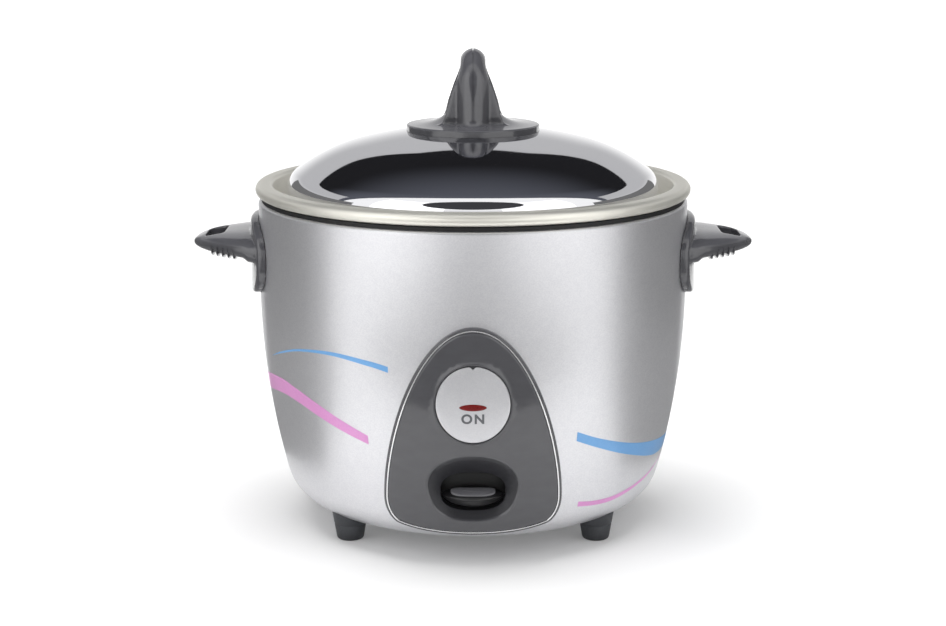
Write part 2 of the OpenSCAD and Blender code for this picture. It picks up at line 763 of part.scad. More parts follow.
module lever_arm() {
    top = bar_z + arm_t / 2;
    color("lightgray") difference() {
        union() {
            translate([0, -pivot_y, pivot_z]) rod_along_x(-cheek_x + 0.4, cheek_x - 0.4, hub_r);
            translate([-arm_half, -riser_y, pivot_z - arm_t / 2])
                cube([2 * arm_half, riser_y - pivot_y, arm_t]);
            translate([-arm_half, -riser_y, pivot_z - arm_t / 2])
                cube([2 * arm_half, arm_t, top - pivot_z + arm_t / 2]);
            translate([-tongue_half, -tongue_y, top - arm_t])
                cube([2 * tongue_half, tongue_y - riser_y + arm_t, arm_t]);
            translate([-arm_half, -pivot_y - arm_t / 2, fork_z - arm_t / 2])
                cube([2 * arm_half, arm_t, pivot_z - fork_z]);
            translate([-fork_half, -pivot_y - arm_t / 2, fork_z - arm_t / 2])
                cube([2 * fork_half, pivot_y + arm_t / 2 + fork_half, arm_t]);
        }
        translate([0, -pivot_y, pivot_z]) rod_along_x(-cheek_x, cheek_x, pin_r + run);
        translate([-rod_r - 0.5, -rod_r - 1.5, fork_z - arm_t]) cube([2 * rod_r + 1, 20, 2 * arm_t]);
    }
}

module lever_pin() {
    over = cheek_x + base_t + 0.1;
    color("gainsboro") translate([0, -pivot_y, pivot_z]) {
        rod_along_x(-over - 1.2, over + 1.2, pin_r);
        for (s = [-1, 1]) translate([s * (over + 0.6) - 0.6, 0, 0]) rod_along_x(0, 1.2, pin_r + 1.3);
    }
}

module switch_bracket() {
    half = 16;
    back = pivot_y - 11;
    front = pivot_y + 41;
    cheek_half = 8;
    cheek_top = pivot_z + pin_r + 3;
    color("silver") difference() {
        union() {
            translate([-half, -front, floor_z]) cube([2 * half, front - back, base_t]);
            for (s = [-1, 1]) translate([s > 0 ? cheek_x : -cheek_x - base_t, -pivot_y - cheek_half, floor_z])
                cube([base_t, 2 * cheek_half, cheek_top - floor_z]);
            translate([switch_w / 2, -switch_y - switch_half, floor_z]) cube([base_t, 2 * switch_half, 11]);
        }
        translate([0, -pivot_y, pivot_z]) rod_along_x(-20, 20, pin_r + run);
        for (p = bracket_screws_at) translate([p[0], p[1], floor_z - 1]) cylinder(h = 4, r = screw_r + run);
        at_switch_screws() rod_along_x(0, 10, switch_screw_r + run);
    }
}

module bracket_screws() {
    color("gainsboro") for (p = bracket_screws_at) translate([p[0], p[1], base_z]) screw_up(6);
}

switch_screw_r = 1.1;

module at_switch_screws() {
    for (s = [-1, 1]) translate([0, -switch_y + s * 5, switch_z + 3]) children();
}

module microswitch() {
    color("black") difference() {
        union() {
            translate([-switch_w / 2, -switch_y - switch_half, switch_z])
                cube([switch_w, 2 * switch_half, switch_h]);
            for (s = [-1, 1]) translate([-switch_w / 2 - terminal_len, -switch_y + s * 8 - 1.5, switch_z + 5])
                cube([terminal_len + 1, 3, 0.8]);
        }
        translate([0, -plunger_y, switch_z + 3]) cylinder(h = 20, r = plunger_r + run);
        at_switch_screws() rod_along_x(-10, 10, switch_screw_r + run);
    }
}

module switch_plunger() {
    top = pivot_z - arm_t / 2 - 0.2;
    color("firebrick") translate([0, -plunger_y, switch_z + 4.5])
        cylinder(h = top - switch_z - 4.5, r = plunger_r);
}

module switch_screws() {
    color("gainsboro") at_switch_screws() translate([-switch_w / 2, 0, 0])
        rotate([0, 90, 0]) screw_up(switch_w + base_t + 2, switch_screw_r, 2, 1.4);
}

// ---- Heater ----

module heating_plate() {
    color("lightgray") difference() {
        rotate_extrude() polygon([[0, plate_z], [plate_r - 1.5, plate_z], [plate_r, plate_z + 1.5],
            [plate_r, seat_z - 1], [plate_r - 1, seat_z], [0, seat_z]]);
        translate([0, 0, plate_z - 1]) cylinder(h = plate_t + 2, r = sensor_r + slide_gap);
        element_ring(element_tube + run);
        at_legs() translate([0, 0, plate_z - 1]) cylinder(h = 5, r = screw_r + run);
        at_sensor_screws() translate([0, 0, plate_z - 1]) cylinder(h = 5, r = screw_r + run);
    }
}

module element_ring(r) {
    ring_z = plate_z + 1;
    rotate(180 - end_angle) rotate_extrude(angle = 180 + 2 * end_angle)
        translate([element_r, ring_z]) circle(r = r);
    for (s = [-1, 1]) translate([s * end_x, end_y, bead_z + 4]) cylinder(h = ring_z - bead_z - 4, r = r);
    for (s = [-1, 1]) translate([s * end_x, end_y, ring_z]) sphere(r = r * 1.01);
}

module heater_element() { color("gray") element_ring(element_tube); }

module terminal_insulators() {
    color("white") for (s = [-1, 1]) translate([s * end_x, end_y, bead_z]) difference() {
        cylinder(h = 4 - seam, r = element_tube + 0.5);
        translate([0, 0, -1]) cylinder(h = 6, r = 1.5 + run);
    }
}

module heater_terminals() {
    color("gold") for (s = [-1, 1]) translate([s * end_x, end_y, pin_low_z])
        cylinder(h = bead_z + 4 - seam - pin_low_z, r = 1.5);
}

module heater_legs() {
    color("silver") at_legs() translate([0, 0, floor_z]) difference() {
        cylinder(h = plate_z - floor_z, r = leg_r);
        translate([0, 0, -1]) cylinder(h = 10, r = screw_r + run);
        translate([0, 0, plate_z - floor_z - 9]) cylinder(h = 10, r = screw_r + run);
    }
}

// Screws below the legs, and the studs that hold the plate on top of them.
module leg_screws() {
    color("gainsboro") at_legs() {
        translate([0, 0, base_z]) screw_up(9);
        translate([0, 0, plate_z - 7]) cylinder(h = 10, r = screw_r);
    }
}

// ---- Thermostat ----

module at_sensor_screws() {
    for (s = [-1, 1]) translate([s * (web_half + strap_foot / 2 + 1), 0, 0]) children();
}

module sensor_bracket() {
    color("silver") difference() {
        union() {
            translate([-web_half, -web_depth, web_z]) cube([2 * web_half, 2 * web_depth, base_t]);
            for (s = [-1, 1]) {
                translate([s > 0 ? web_half - base_t : -web_half, -web_depth, web_z])
                    cube([base_t, 2 * web_depth, plate_z - web_z]);
                translate([s > 0 ? web_half - base_t : -web_half - strap_foot, -web_depth, plate_z - base_t])
                    cube([strap_foot + base_t, 2 * web_depth, base_t]);
            }
        }
        translate([0, 0, web_z - 1]) cylinder(h = 4, r = rod_r + 0.5);
        at_sensor_screws() translate([0, 0, plate_z - 4]) cylinder(h = 6, r = screw_r + run);
    }
}

module sensor_screws() {
    color("gainsboro") at_sensor_screws() translate([0, 0, plate_z - base_t]) screw_up(4.5);
}

module sensor_cup() {
    color("lightgray") translate([0, 0, seat_z - sensor_h]) difference() {
        cylinder(h = sensor_h, r = sensor_r);
        translate([0, 0, -1]) cylinder(h = sensor_h + 1 - cup_top_t, r = sensor_r - cup_wall);
    }
}

module sensor_ferrite() {
    color("dimgray") translate([0, 0, ferrite_z]) cylinder(h = ferrite_t, r = sensor_r - cup_wall - 0.1);
}

module sensor_spring() {
    gauge = 1;
    color("silver") coil(sensor_r - cup_wall - gauge / 2 - 0.3, gauge, web_z + base_t, ferrite_z, 5);
}

module magnet() {
    color("dimgray") translate([0, 0, magnet_z]) cylinder(h = magnet_t, r = magnet_r);
}

module magnet_rod() {
    color("gainsboro") {
        translate([0, 0, collar_low_z - 1]) cylinder(h = magnet_z - collar_low_z + 1, r = rod_r);
        for (z = [collar_low_z, collar_high_z]) translate([0, 0, z]) cylinder(h = collar_t, r = collar_r);
    }
}

module magnet_spring() {
    color("silver") coil(rod_r + 1.1, 0.7, collar_high_z + collar_t, web_z, 5);
}

module thermal_fuse() {
    color("silver") translate([fuse_x, fuse_y, fuse_z]) rotate([90, 0, 0])
        cylinder(h = fuse_len, r = fuse_r, center = true);
}

module fuse_clip() {
    half = 3.4;
    length = 6;
    color("gainsboro") difference() {
        translate([fuse_x - half, fuse_y - length / 2, fuse_z - fuse_r - 0.7])
            cube([2 * half, length, plate_z - fuse_z + fuse_r + 0.7]);
        translate([fuse_x, fuse_y, fuse_z]) rotate([90, 0, 0])
            cylinder(h = 20, r = fuse_r + run, center = true);
    }
}

// ---- Power inlet and wiring ----

inlet_face = shell_r(inlet_z + inlet_h / 2) + 2.6;
cavity_depth = inlet_depth - 8;
tab_y = inlet_face - inlet_depth - 2.4;

module inlet_body(d) {
    half = inlet_w / 2 - 10;
    translate([0, inlet_face - 1, inlet_z]) rotate([90, 0, 0]) linear_extrude(inlet_depth)
        polygon(oval(half + d, inlet_h / 2 - 3.5 + d, 5));
}

module at_inlet_screws() {
    for (s = [-1, 1]) translate([s * (inlet_w / 2 - 4.8), inlet_face, inlet_z]) rotate([90, 0, 0]) children();
}

module at_poles() {
    for (p = [[-pole_x, -2.5], [0, 3.5], [pole_x, -2.5]]) translate([p[0], 0, inlet_z + p[1]]) children();
}

module power_inlet() {
    half = inlet_w / 2 - 12;
    color("black") difference() {
        union() {
            inlet_body(0);
            difference() {
                translate([0, inlet_face, inlet_z]) rotate([90, 0, 0]) linear_extrude(16)
                    polygon(oval(inlet_w / 2, inlet_h / 2, 4));
                body_space(seam);
            }
        }
        translate([0, inlet_face + 1, inlet_z]) rotate([90, 0, 0]) linear_extrude(cavity_depth)
            polygon(oval(half, inlet_h / 2 - 5.5, 5));
        at_inlet_screws() cylinder(h = 40, r = screw_r + run, center = true);
        at_poles() translate([-1 - seam, tab_y - 1, -2 - seam]) cube([2 + 2 * seam, 25, 4 + 2 * seam]);
    }
}

module inlet_pins() {
    color("gold") at_poles() translate([-1, tab_y, -2]) cube([2, inlet_face - tab_y - 6, 4]);
}

module inlet_screws() {
    color("gainsboro") at_inlet_screws() screw_up(14);
}

pole_z = inlet_z - 2.5;
blade_x = -switch_w / 2 - terminal_len;
blade_z = switch_z + 5.4;

module wire_live() {
    color("brown") wire([[-pole_x, tab_y, pole_z], [-pole_x, tab_y - 8, pole_z], [-24, tab_y - 18, 26],
        [-wire_x, 30, 22], [-wire_x, -30, 22], [-26, -switch_y - 2, 21], [-16, -switch_y - 8, blade_z],
        [blade_x, -switch_y - 8, blade_z]]);
}

module wire_switched() {
    color("brown") wire([[blade_x, -switch_y + 8, blade_z], [-20, -switch_y + 8, blade_z],
        [7 - wire_x, -30, 26], [-wire_x - 4, 10, 34], [fuse_x - 10, 34, 44], [fuse_x, 36, 50],
        [fuse_x, 30, fuse_z], [fuse_x, fuse_y + fuse_len / 2, fuse_z]]);
}

module wire_fused() {
    color("brown") wire([[fuse_x, fuse_y - fuse_len / 2, fuse_z], [fuse_x, fuse_y - fuse_len / 2 - 4, fuse_z],
        [fuse_x, fuse_y - fuse_len / 2 - 6, fuse_z - 6], [fuse_x + 3, 14, 44], [-end_x - 2, end_y - 12, 36],
        [-end_x, end_y, 36], [-end_x, end_y, pin_low_z]]);
}

module wire_neutral() {
    color("royalblue") wire([[pole_x, tab_y, pole_z], [pole_x, tab_y - 8, pole_z], [end_x, tab_y - 18, 34],
        [end_x, end_y, 36], [end_x, end_y, pin_low_z]]);
}

module wire_lamp() {
    color("white") wire([[-lamp_half - 0.1, -lamp_y, badge_z], [-13, -lamp_y, badge_z],
        [-20, 1.1 - lamp_y, badge_z - 2], [-28, 3.9 - lamp_y, badge_z - 9], [-35, 12.1 - lamp_y, 56],
        [-44, 34.1 - lamp_y, 40], [-wire_x - 4, -44, 28], [-wire_x, -30, 24.6]]);
}

// ---- Pan ----

module inner_pan() {
    inside = pan_r - pan_wall;
    step_out = step_r + pan_wall;
    curl = [rim_r - rim_curl, rim_top_z - rim_curl];
    mouth = step_out + 1;
    color("lightgoldenrodyellow") rotate_extrude() polygon(concat(
        [[0, seat_z]],
        arc([pan_r - pan_corner, seat_z + pan_corner], pan_corner, -90, 0, 8),
        [[pan_r, ledge_z - pan_wall], [step_out, ledge_z - pan_wall], [mouth + 0.6, curl[1]],
            [curl[0] - rim_curl * 0.6, curl[1] - rim_curl * 0.8]],
        arc(curl, rim_curl, -90, 90, 10),
        arc([mouth + 1.6, rim_top_z - 2.4], 2.4, 90, 170, 5),
        [[step_r, ledge_z], [inside, ledge_z]],
        arc([pan_r - pan_corner, seat_z + pan_corner], pan_corner - pan_wall, 0, -90, 8),
        [[0, seat_z + pan_wall]]));
}

// ---- Lid ----

screw_hole_r = 2.7;

module lid_dome() {
    bead_h = 2.6;
    inner = skirt_r - lid_wall;
    color("silver") rotate_extrude() polygon(concat(
        dome_line(0, screw_hole_r),
        [[skirt_r, ledge_z + bead_h], [skirt_r + lid_bead - 0.6, ledge_z + bead_h],
            [skirt_r + lid_bead, ledge_z + bead_h / 2], [skirt_r + lid_bead - 0.6, ledge_z], [inner, ledge_z]],
        reversed(dome_line(lid_wall, screw_hole_r))));
}

module lid_handle() {
    base_z = dome_z(knob_r) + 0.1;
    rim_z = base_z + knob_edge;
    top_z = dome_top_z + knob_h;
    neck = grip_w / 2;
    cap = [neck, top_z - 6.8];
    waist = [neck * 2.1, dome_top_z + 8];
    foot = [knob_r - 3, rim_z + 0.6];
    front = concat([[0, top_z]],
        curve([0, top_z], [neck * 0.75, top_z], [neck, top_z - 2.6], cap, 6),
        curve(cap, [neck + 1, top_z - 19], waist + [-1, 11], waist, 8),
        curve(waist, waist - [-0.4, 4], [neck * 3.2, rim_z + 1.4], foot, 6),
        [[foot[0], base_z + 1]]);
    outer = [grip_reach, rim_z + 3];
    inner = [grip_reach - grip_leg - 2, rim_z + 7];
    hole_top = top_z - grip_leg;
    side = concat([[grip_reach + 4, base_z + 1], outer],
        curve(outer, [outer[0] - 3, top_z - 22], [outer[0] - 4, top_z], [0, top_z], 12));
    hole = concat([inner], curve(inner, inner + [-1, 15], [inner[0] - 2, hole_top], [0, hole_top], 10));
    color("dimgray") difference() {
        union() {
            rotate_extrude() polygon(concat(
                [[0, dome_z(0) + 0.1]],
                [for (r = [6, 12, 18, 24, 30, knob_r - 0.6]) [r, dome_z(r) + 0.1]],
                [[knob_r, base_z + 0.8], [knob_r, rim_z - 0.8], [knob_r - 0.8, rim_z]],
                curve([knob_r - 0.8, rim_z], [26, rim_z + 1.6], [20, rim_z + 2.2], [0, rim_z + 4], 5)));
            intersection() {
                translate([0, 40, 0]) rotate([90, 0, 0]) linear_extrude(80) polygon(mirrored(front));
                translate([-40, 0, 0]) rotate([90, 0, 90]) linear_extrude(80) polygon(mirrored(side));
                translate([0, 0, dome_top_z + 0.5]) cylinder(h = knob_h, r = knob_r - 1);
            }
        }
        translate([-40, 0, 0]) rotate([90, 0, 90]) linear_extrude(80) polygon(mirrored(hole));
        translate([0, 0, dome_top_z - 5]) cylinder(h = 12.5, r = screw_r + run);
    }
}

washer_t = 1;

module lid_washer() {
    top = dome_c[1] + sqrt(pow(dome_curve - lid_wall, 2) - 36) - seam;
    color("gainsboro") translate([0, 0, top - washer_t]) difference() {
        cylinder(h = washer_t, r = 6);
        translate([0, 0, -1]) cylinder(h = 4, r = screw_hole_r - 0.2);
    }
}

module lid_screw() {
    top = dome_c[1] + sqrt(pow(dome_curve - lid_wall, 2) - 36) - seam - washer_t;
    color("gainsboro") translate([0, 0, top]) screw_up(dome_top_z + 7 - top);
}

outer_shell();
inner_liner();
base_plate();
base_screws();
feet();
foot_screws();
foot_nuts();
left_handle();
right_handle();
handle_screws();
front_panel();
panel_screws();
indicator_badge();
indicator_lens();
indicator_lamp();
lamp_holder();
lever_knob();
lever_cap();
lever_arm();
lever_pin();
switch_bracket();
bracket_screws();
microswitch();
switch_plunger();
switch_screws();
heating_plate();
heater_element();
terminal_insulators();
heater_terminals();
heater_legs();
leg_screws();
sensor_bracket();
sensor_screws();
sensor_cup();
sensor_ferrite();
sensor_spring();
magnet();
magnet_rod();
magnet_spring();
thermal_fuse();
fuse_clip();
power_inlet();
inlet_pins();
inlet_screws();
wire_live();
wire_switched();
wire_fused();
wire_neutral();
wire_lamp();
inner_pan();
lid_dome();
lid_handle();
lid_screw();
lid_washer();
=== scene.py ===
"""Looks of an automatic rice cooker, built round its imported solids.

The spun shell, pan and lid, the moulded handles, knob and panel, and the small hardware are made here in
millimetres and dressed with procedural finishes. Z is up and the front faces -Y.
"""

import json
import logging
import math
from dataclasses import dataclass
from enum import Enum
from typing import Callable, Sequence

import bmesh
import bpy
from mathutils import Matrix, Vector
from mathutils.geometry import delaunay_2d_cdt

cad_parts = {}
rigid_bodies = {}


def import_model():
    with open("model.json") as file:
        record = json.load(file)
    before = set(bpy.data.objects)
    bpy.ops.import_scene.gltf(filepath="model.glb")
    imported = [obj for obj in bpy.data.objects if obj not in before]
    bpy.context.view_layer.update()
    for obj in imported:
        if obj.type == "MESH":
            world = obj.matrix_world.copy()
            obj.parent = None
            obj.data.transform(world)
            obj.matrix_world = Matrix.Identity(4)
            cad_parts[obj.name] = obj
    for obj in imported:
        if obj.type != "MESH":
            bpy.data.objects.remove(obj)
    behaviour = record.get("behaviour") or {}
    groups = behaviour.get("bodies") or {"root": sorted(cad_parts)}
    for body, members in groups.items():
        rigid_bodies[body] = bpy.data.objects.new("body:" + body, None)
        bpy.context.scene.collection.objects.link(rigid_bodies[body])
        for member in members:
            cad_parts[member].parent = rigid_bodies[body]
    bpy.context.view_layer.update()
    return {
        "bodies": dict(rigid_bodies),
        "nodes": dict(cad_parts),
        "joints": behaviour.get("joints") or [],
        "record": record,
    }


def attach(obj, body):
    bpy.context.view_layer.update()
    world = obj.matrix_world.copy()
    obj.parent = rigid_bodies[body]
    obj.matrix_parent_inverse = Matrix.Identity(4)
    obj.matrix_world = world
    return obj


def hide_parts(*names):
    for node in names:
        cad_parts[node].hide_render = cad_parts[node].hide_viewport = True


LOG = logging.getLogger("rice_cooker")
MM = 0.001
FIRST, SECOND, MIXED = 6, 7, 2  # the colour sockets of a Mix node
SMUDGE_CONTRAST = 2.2
CLEAR_SMUDGE = 220.0

Flat = tuple[float, float]
Solid = tuple[float, float, float]
Node = bpy.types.Node
Tree = bpy.types.NodeTree
Thing = bpy.types.Object


# ---- Curves and outlines, in millimetres ----


def arc(centre: Flat, r: float, a: float, b: float, n: int) -> list[Flat]:
    """Points along an arc.

    Args:
        centre: The arc's middle.
        r: Its radius.
        a, b: Its first and last angle, in degrees.
        n: How many steps it takes.

    Returns:
        The points, both ends included.
    """
    turns = [math.radians(a + (b - a) * i / n) for i in range(n + 1)]
    return [(centre[0] + r * math.cos(t), centre[1] + r * math.sin(t)) for t in turns]


def curve(p: Flat, q: Flat, r: Flat, s: Flat, n: int) -> list[Flat]:
    """Points along a cubic curve from p to s, without p.

    Args:
        p, s: The ends.
        q, r: The two control points.
        n: How many steps it takes.

    Returns:
        The points after p.
    """
    out = []
    for i in range(1, n + 1):
        t = i / n
        u = 1 - t
        w = (u * u * u, 3 * u * u * t, 3 * u * t * t, t * t * t)
        out.append(tuple(sum(k * c[axis] for k, c in zip(w, (p, q, r, s))) for axis in (0, 1)))
    return out


def oval(a: float, b: float, n: float = 2.0, steps: int = 96) -> list[Flat]:
    """A rounded outline: n = 2 is an ellipse, and a larger n is squarer.

    Args:
        a, b: Half its width and half its height.
        n: How square it is.
        steps: How many points it has.

    Returns:
        The outline's points.
    """
    out = []
    for i in range(steps):
        t = 2 * math.pi * i / steps
        c, s = math.cos(t), math.sin(t)
        out.append((math.copysign(a * abs(c) ** (2 / n), c), math.copysign(b * abs(s) ** (2 / n), s)))
    return out


def read_off(line: Sequence[Flat], at: float) -> float:
    """A broken line's second coordinate where its first, which grows along the line, has a value.

    Args:
        line: The broken line.
        at: The first coordinate.

    Returns:
        The second coordinate; beyond the line, that of its nearer end.
    """
    if at < line[0][0]:
        return line[0][1]
    for (u0, v0), (u1, v1) in zip(line, line[1:]):
        if u0 <= at <= u1:
            return v0 + (v1 - v0) * (at - u0) / max(u1 - u0, 1e-6)
    return line[-1][1]


def inset(loop: Sequence[Flat], d: float) -> list[Flat]:
    """A closed outline moved inwards.

    Args:
        loop: The outline, either way round.
        d: How far each point moves in.

    Returns:
        The moved outline, point for point.
    """
    n = len(loop)
    area = sum(loop[i][0] * loop[(i + 1) % n][1] - loop[(i + 1) % n][0] * loop[i][1] for i in range(n))
    side = 1 if area > 0 else -1
    out = []
    for i in range(n):
        (x0, y0), (x1, y1) = loop[i - 1], loop[(i + 1) % n]
        length = math.hypot(x1 - x0, y1 - y0)
        out.append((loop[i][0] - side * d * (y1 - y0) / length, loop[i][1] + side * d * (x1 - x0) / length))
    return out


def within(p: Vector, loop: Sequence[Vector]) -> bool:
    """Whether a flat point lies inside a closed outline.

    Args:
        p: The point.
        loop: The outline.

    Returns:
        True if it lies inside.
    """
    odd = False
    for i in range(len(loop)):
        a, b = loop[i - 1], loop[i]
        if (a.y > p.y) != (b.y > p.y) and p.x < (b.x - a.x) * (p.y - a.y) / (b.y - a.y) + a.x:
            odd = not odd
    return odd


# ---- Meshes ----


def placed(name: str, data: bpy.types.ID) -> Thing:
    """Puts data in the scene as an object at the origin.

    Args:
        name: The object's name.
        data: What it shows.

    Returns:
        The new object.
    """
    thing = bpy.data.objects.new(name, data)
    bpy.context.scene.collection.objects.link(thing)
    return thing


def piece_of(mesh: bpy.types.Mesh, name: str, sharp: float = 35.0) -> Thing:
    """Puts a mesh in the scene as a smooth piece whose hard edges stay crisp.

    Args:
        mesh: The finished mesh, in metres.
        name: The piece's name.
        sharp: The angle in degrees above which an edge is hard.

    Returns:
        The new object, at the origin.
    """
    mesh.name = name
    mesh.polygons.foreach_set("use_smooth", [True] * len(mesh.polygons))
    mesh.set_sharp_from_angle(angle=math.radians(sharp))
    return placed(name, mesh)


def settled(thing: Thing, name: str, sharp: float = 35.0) -> Thing:
    """The evaluated object as a plain mesh without modifiers; the old object is removed.

    Args:
        thing: The object.
        name: The new object's name.
        sharp: The angle in degrees above which an edge is hard.

    Returns:
        The new object.
    """
    depsgraph = bpy.context.evaluated_depsgraph_get()
    mesh = bpy.data.meshes.new_from_object(thing.evaluated_get(depsgraph), depsgraph=depsgraph)
    bpy.data.objects.remove(thing)
    return piece_of(mesh, name, sharp)


class Form:
    """A mesh in the making, in millimetres: rings of points, bridged and closed."""

    def __init__(self) -> None:
        """Starts with an empty mesh."""
        self.bm = bmesh.new()

    def ring(self, points: Sequence[Solid]) -> list[bmesh.types.BMVert]:
        """Adds points and returns their vertices."""
        return [self.bm.verts.new(Vector(p) * MM) for p in points]

    def bridge(self, a: Sequence, b: Sequence, closed: bool = True) -> None:
        """Joins two rings of the same length by quads.

        Args:
            a, b: The rings.
            closed: Whether the quads go all the way round.
        """
        n = len(a)
        for i in range(n if closed else n - 1):
            j = (i + 1) % n
            self.bm.faces.new((a[i], a[j], b[j], b[i]))

    def string(self, rings: Sequence[Sequence], closed: bool = True) -> None:
        """Bridges rings in order."""
        for a, b in zip(rings, rings[1:]):
            self.bridge(a, b, closed)

    def fan(self, ring: Sequence, middle: bmesh.types.BMVert) -> None:
        """Closes a ring by triangles round a vertex."""
        for i in range(len(ring)):
            self.bm.faces.new((ring[i], ring[(i + 1) % len(ring)], middle))

    def loft(self, rings: Sequence[Sequence[Solid]], caps: bool = True) -> "Form":
        """Bridges rings in order and, if asked, closes both ends with a fan.

        Args:
            rings: The rings of points.
            caps: Whether the ends are closed.

        Returns:
            This form.
        """
        made = [self.ring(r) for r in rings]
        self.string(made)
        if caps:
            for end in (made[0], made[-1]):
                self.fan(end, self.bm.verts.new(sum((v.co for v in end), Vector()) / len(end)))
        return self

    def mesh(self, name: str) -> bpy.types.Mesh:
        """Merges doubles, turns faces outwards and returns the mesh.

        Args:
            name: The mesh's name.

        Returns:
            The mesh.
        """
        bmesh.ops.remove_doubles(self.bm, verts=self.bm.verts, dist=1e-6)
        bmesh.ops.recalc_face_normals(self.bm, faces=self.bm.faces)
        return self.raw(name)

    def raw(self, name: str) -> bpy.types.Mesh:
        """The mesh as it stands.

        Args:
            name: The mesh's name.

        Returns:
            The mesh.
        """
        mesh = bpy.data.meshes.new(name)
        self.bm.to_mesh(mesh)
        self.bm.free()
        return mesh

    def piece(self, name: str, sharp: float = 35.0) -> Thing:
        """The finished mesh as an object in the scene."""
        return piece_of(self.mesh(name), name, sharp)


def cut(thing: Thing, tools: Sequence[Thing], keep: str = "DIFFERENCE", sharp: float = 35.0) -> Thing:
    """Cuts a piece by others, or keeps what they share, and removes the others.

    Args:
        thing: The piece that is cut.
        tools: The other pieces.
        keep: The boolean operation.
        sharp: The angle in degrees above which an edge is hard.

    Returns:
        The finished piece.
    """
    name = thing.name
    for tool in tools:
        modifier = thing.modifiers.new("cut", "BOOLEAN")
        modifier.operation, modifier.object, modifier.solver = keep, tool, "EXACT"
    done = settled(thing, name, sharp)
    for tool in tools:
        bpy.data.objects.remove(tool)
    return done


def moulded(parts: Sequence[Thing], name: str, voxel: float, rounds: int) -> Thing:
    """Fuses closed parts into one skin with soft fillets, as a moulding has.

    Args:
        parts: The closed parts, which are removed.
        name: The piece's name.
        voxel: The size of the skin's cells, in millimetres.
        rounds: How often the skin is smoothed.

    Returns:
        The moulding.
    """
    form = Form()
    for part in parts:
        form.bm.from_mesh(part.data)
        bpy.data.objects.remove(part)
    thing = piece_of(form.raw(name), name + "_raw")
    remesh = thing.modifiers.new("skin", "REMESH")
    remesh.mode, remesh.voxel_size, remesh.use_smooth_shade = "VOXEL", voxel * MM, True
    smooth = thing.modifiers.new("fillets", "SMOOTH")
    smooth.factor, smooth.iterations = 0.5, rounds
    return settled(thing, name, 80)


# ---- Node trees ----


def socket(tree: Tree, name: str, kind: str, out: bool = False, value: object = None) -> None:
    """Adds a named socket to a tree's interface, with its starting value.

    Args:
        tree: The tree.
        name: The socket's name.
        kind: Its type, without NodeSocket in front.
        out: Whether it is an output.
        value: Its starting value, if any.
    """
    way = "OUTPUT" if out else "INPUT"
    made = tree.interface.new_socket(name=name, in_out=way, socket_type="NodeSocket" + kind)
    if value is not None:
        made.default_value = value


def add(tree: Tree, kind: str, inputs: dict | None = None, **settings: object) -> Node:
    """Adds a node.

    Args:
        tree: The tree it goes in.
        kind: The node's type.
        inputs: For each input, by name or number, its value or the socket that feeds it.
        settings: The node's own settings.

    Returns:
        The node.
    """
    node = tree.nodes.new(kind)
    for key, value in settings.items():
        setattr(node, key, value)
    for key, value in (inputs or {}).items():
        if isinstance(value, bpy.types.NodeSocket):
            tree.links.new(value, node.inputs[key])
        else:
            node.inputs[key].default_value = value
    return node


def emptied(owner: bpy.types.Material | bpy.types.World) -> Tree:
    """The owner's shader tree, emptied.

    Args:
        owner: The material or world.

    Returns:
        Its tree.
    """
    owner.use_nodes = True
    owner.node_tree.nodes.clear()
    return owner.node_tree


def maths(tree: Tree, operation: str, a: object, b: object = 0.0, c: object = 0.0,
          clamp: bool = False) -> object:
    """A Math node's output."""
    return add(tree, "ShaderNodeMath", {0: a, 1: b, 2: c}, operation=operation, use_clamp=clamp).outputs[0]


def run_modifier(thing: Thing, tree: Tree, values: dict[str, object], name: str, sharp: float = 35.0) -> Thing:
    """Runs a geometry tree on an object and settles the result.

    Args:
        thing: The object that carries the tree's input mesh.
        tree: The tree.
        values: The tree's inputs by name.
        name: The finished piece's name.
        sharp: The angle in degrees above which an edge is hard.

    Returns:
        The finished piece.
    """
    modifier = thing.modifiers.new(tree.name, "NODES")
    modifier.node_group = tree
    for item in tree.interface.items_tree:
        if item.item_type == "SOCKET" and item.in_out == "INPUT" and item.name in values:
            modifier[item.identifier] = values[item.name]
    return settled(thing, name, sharp)


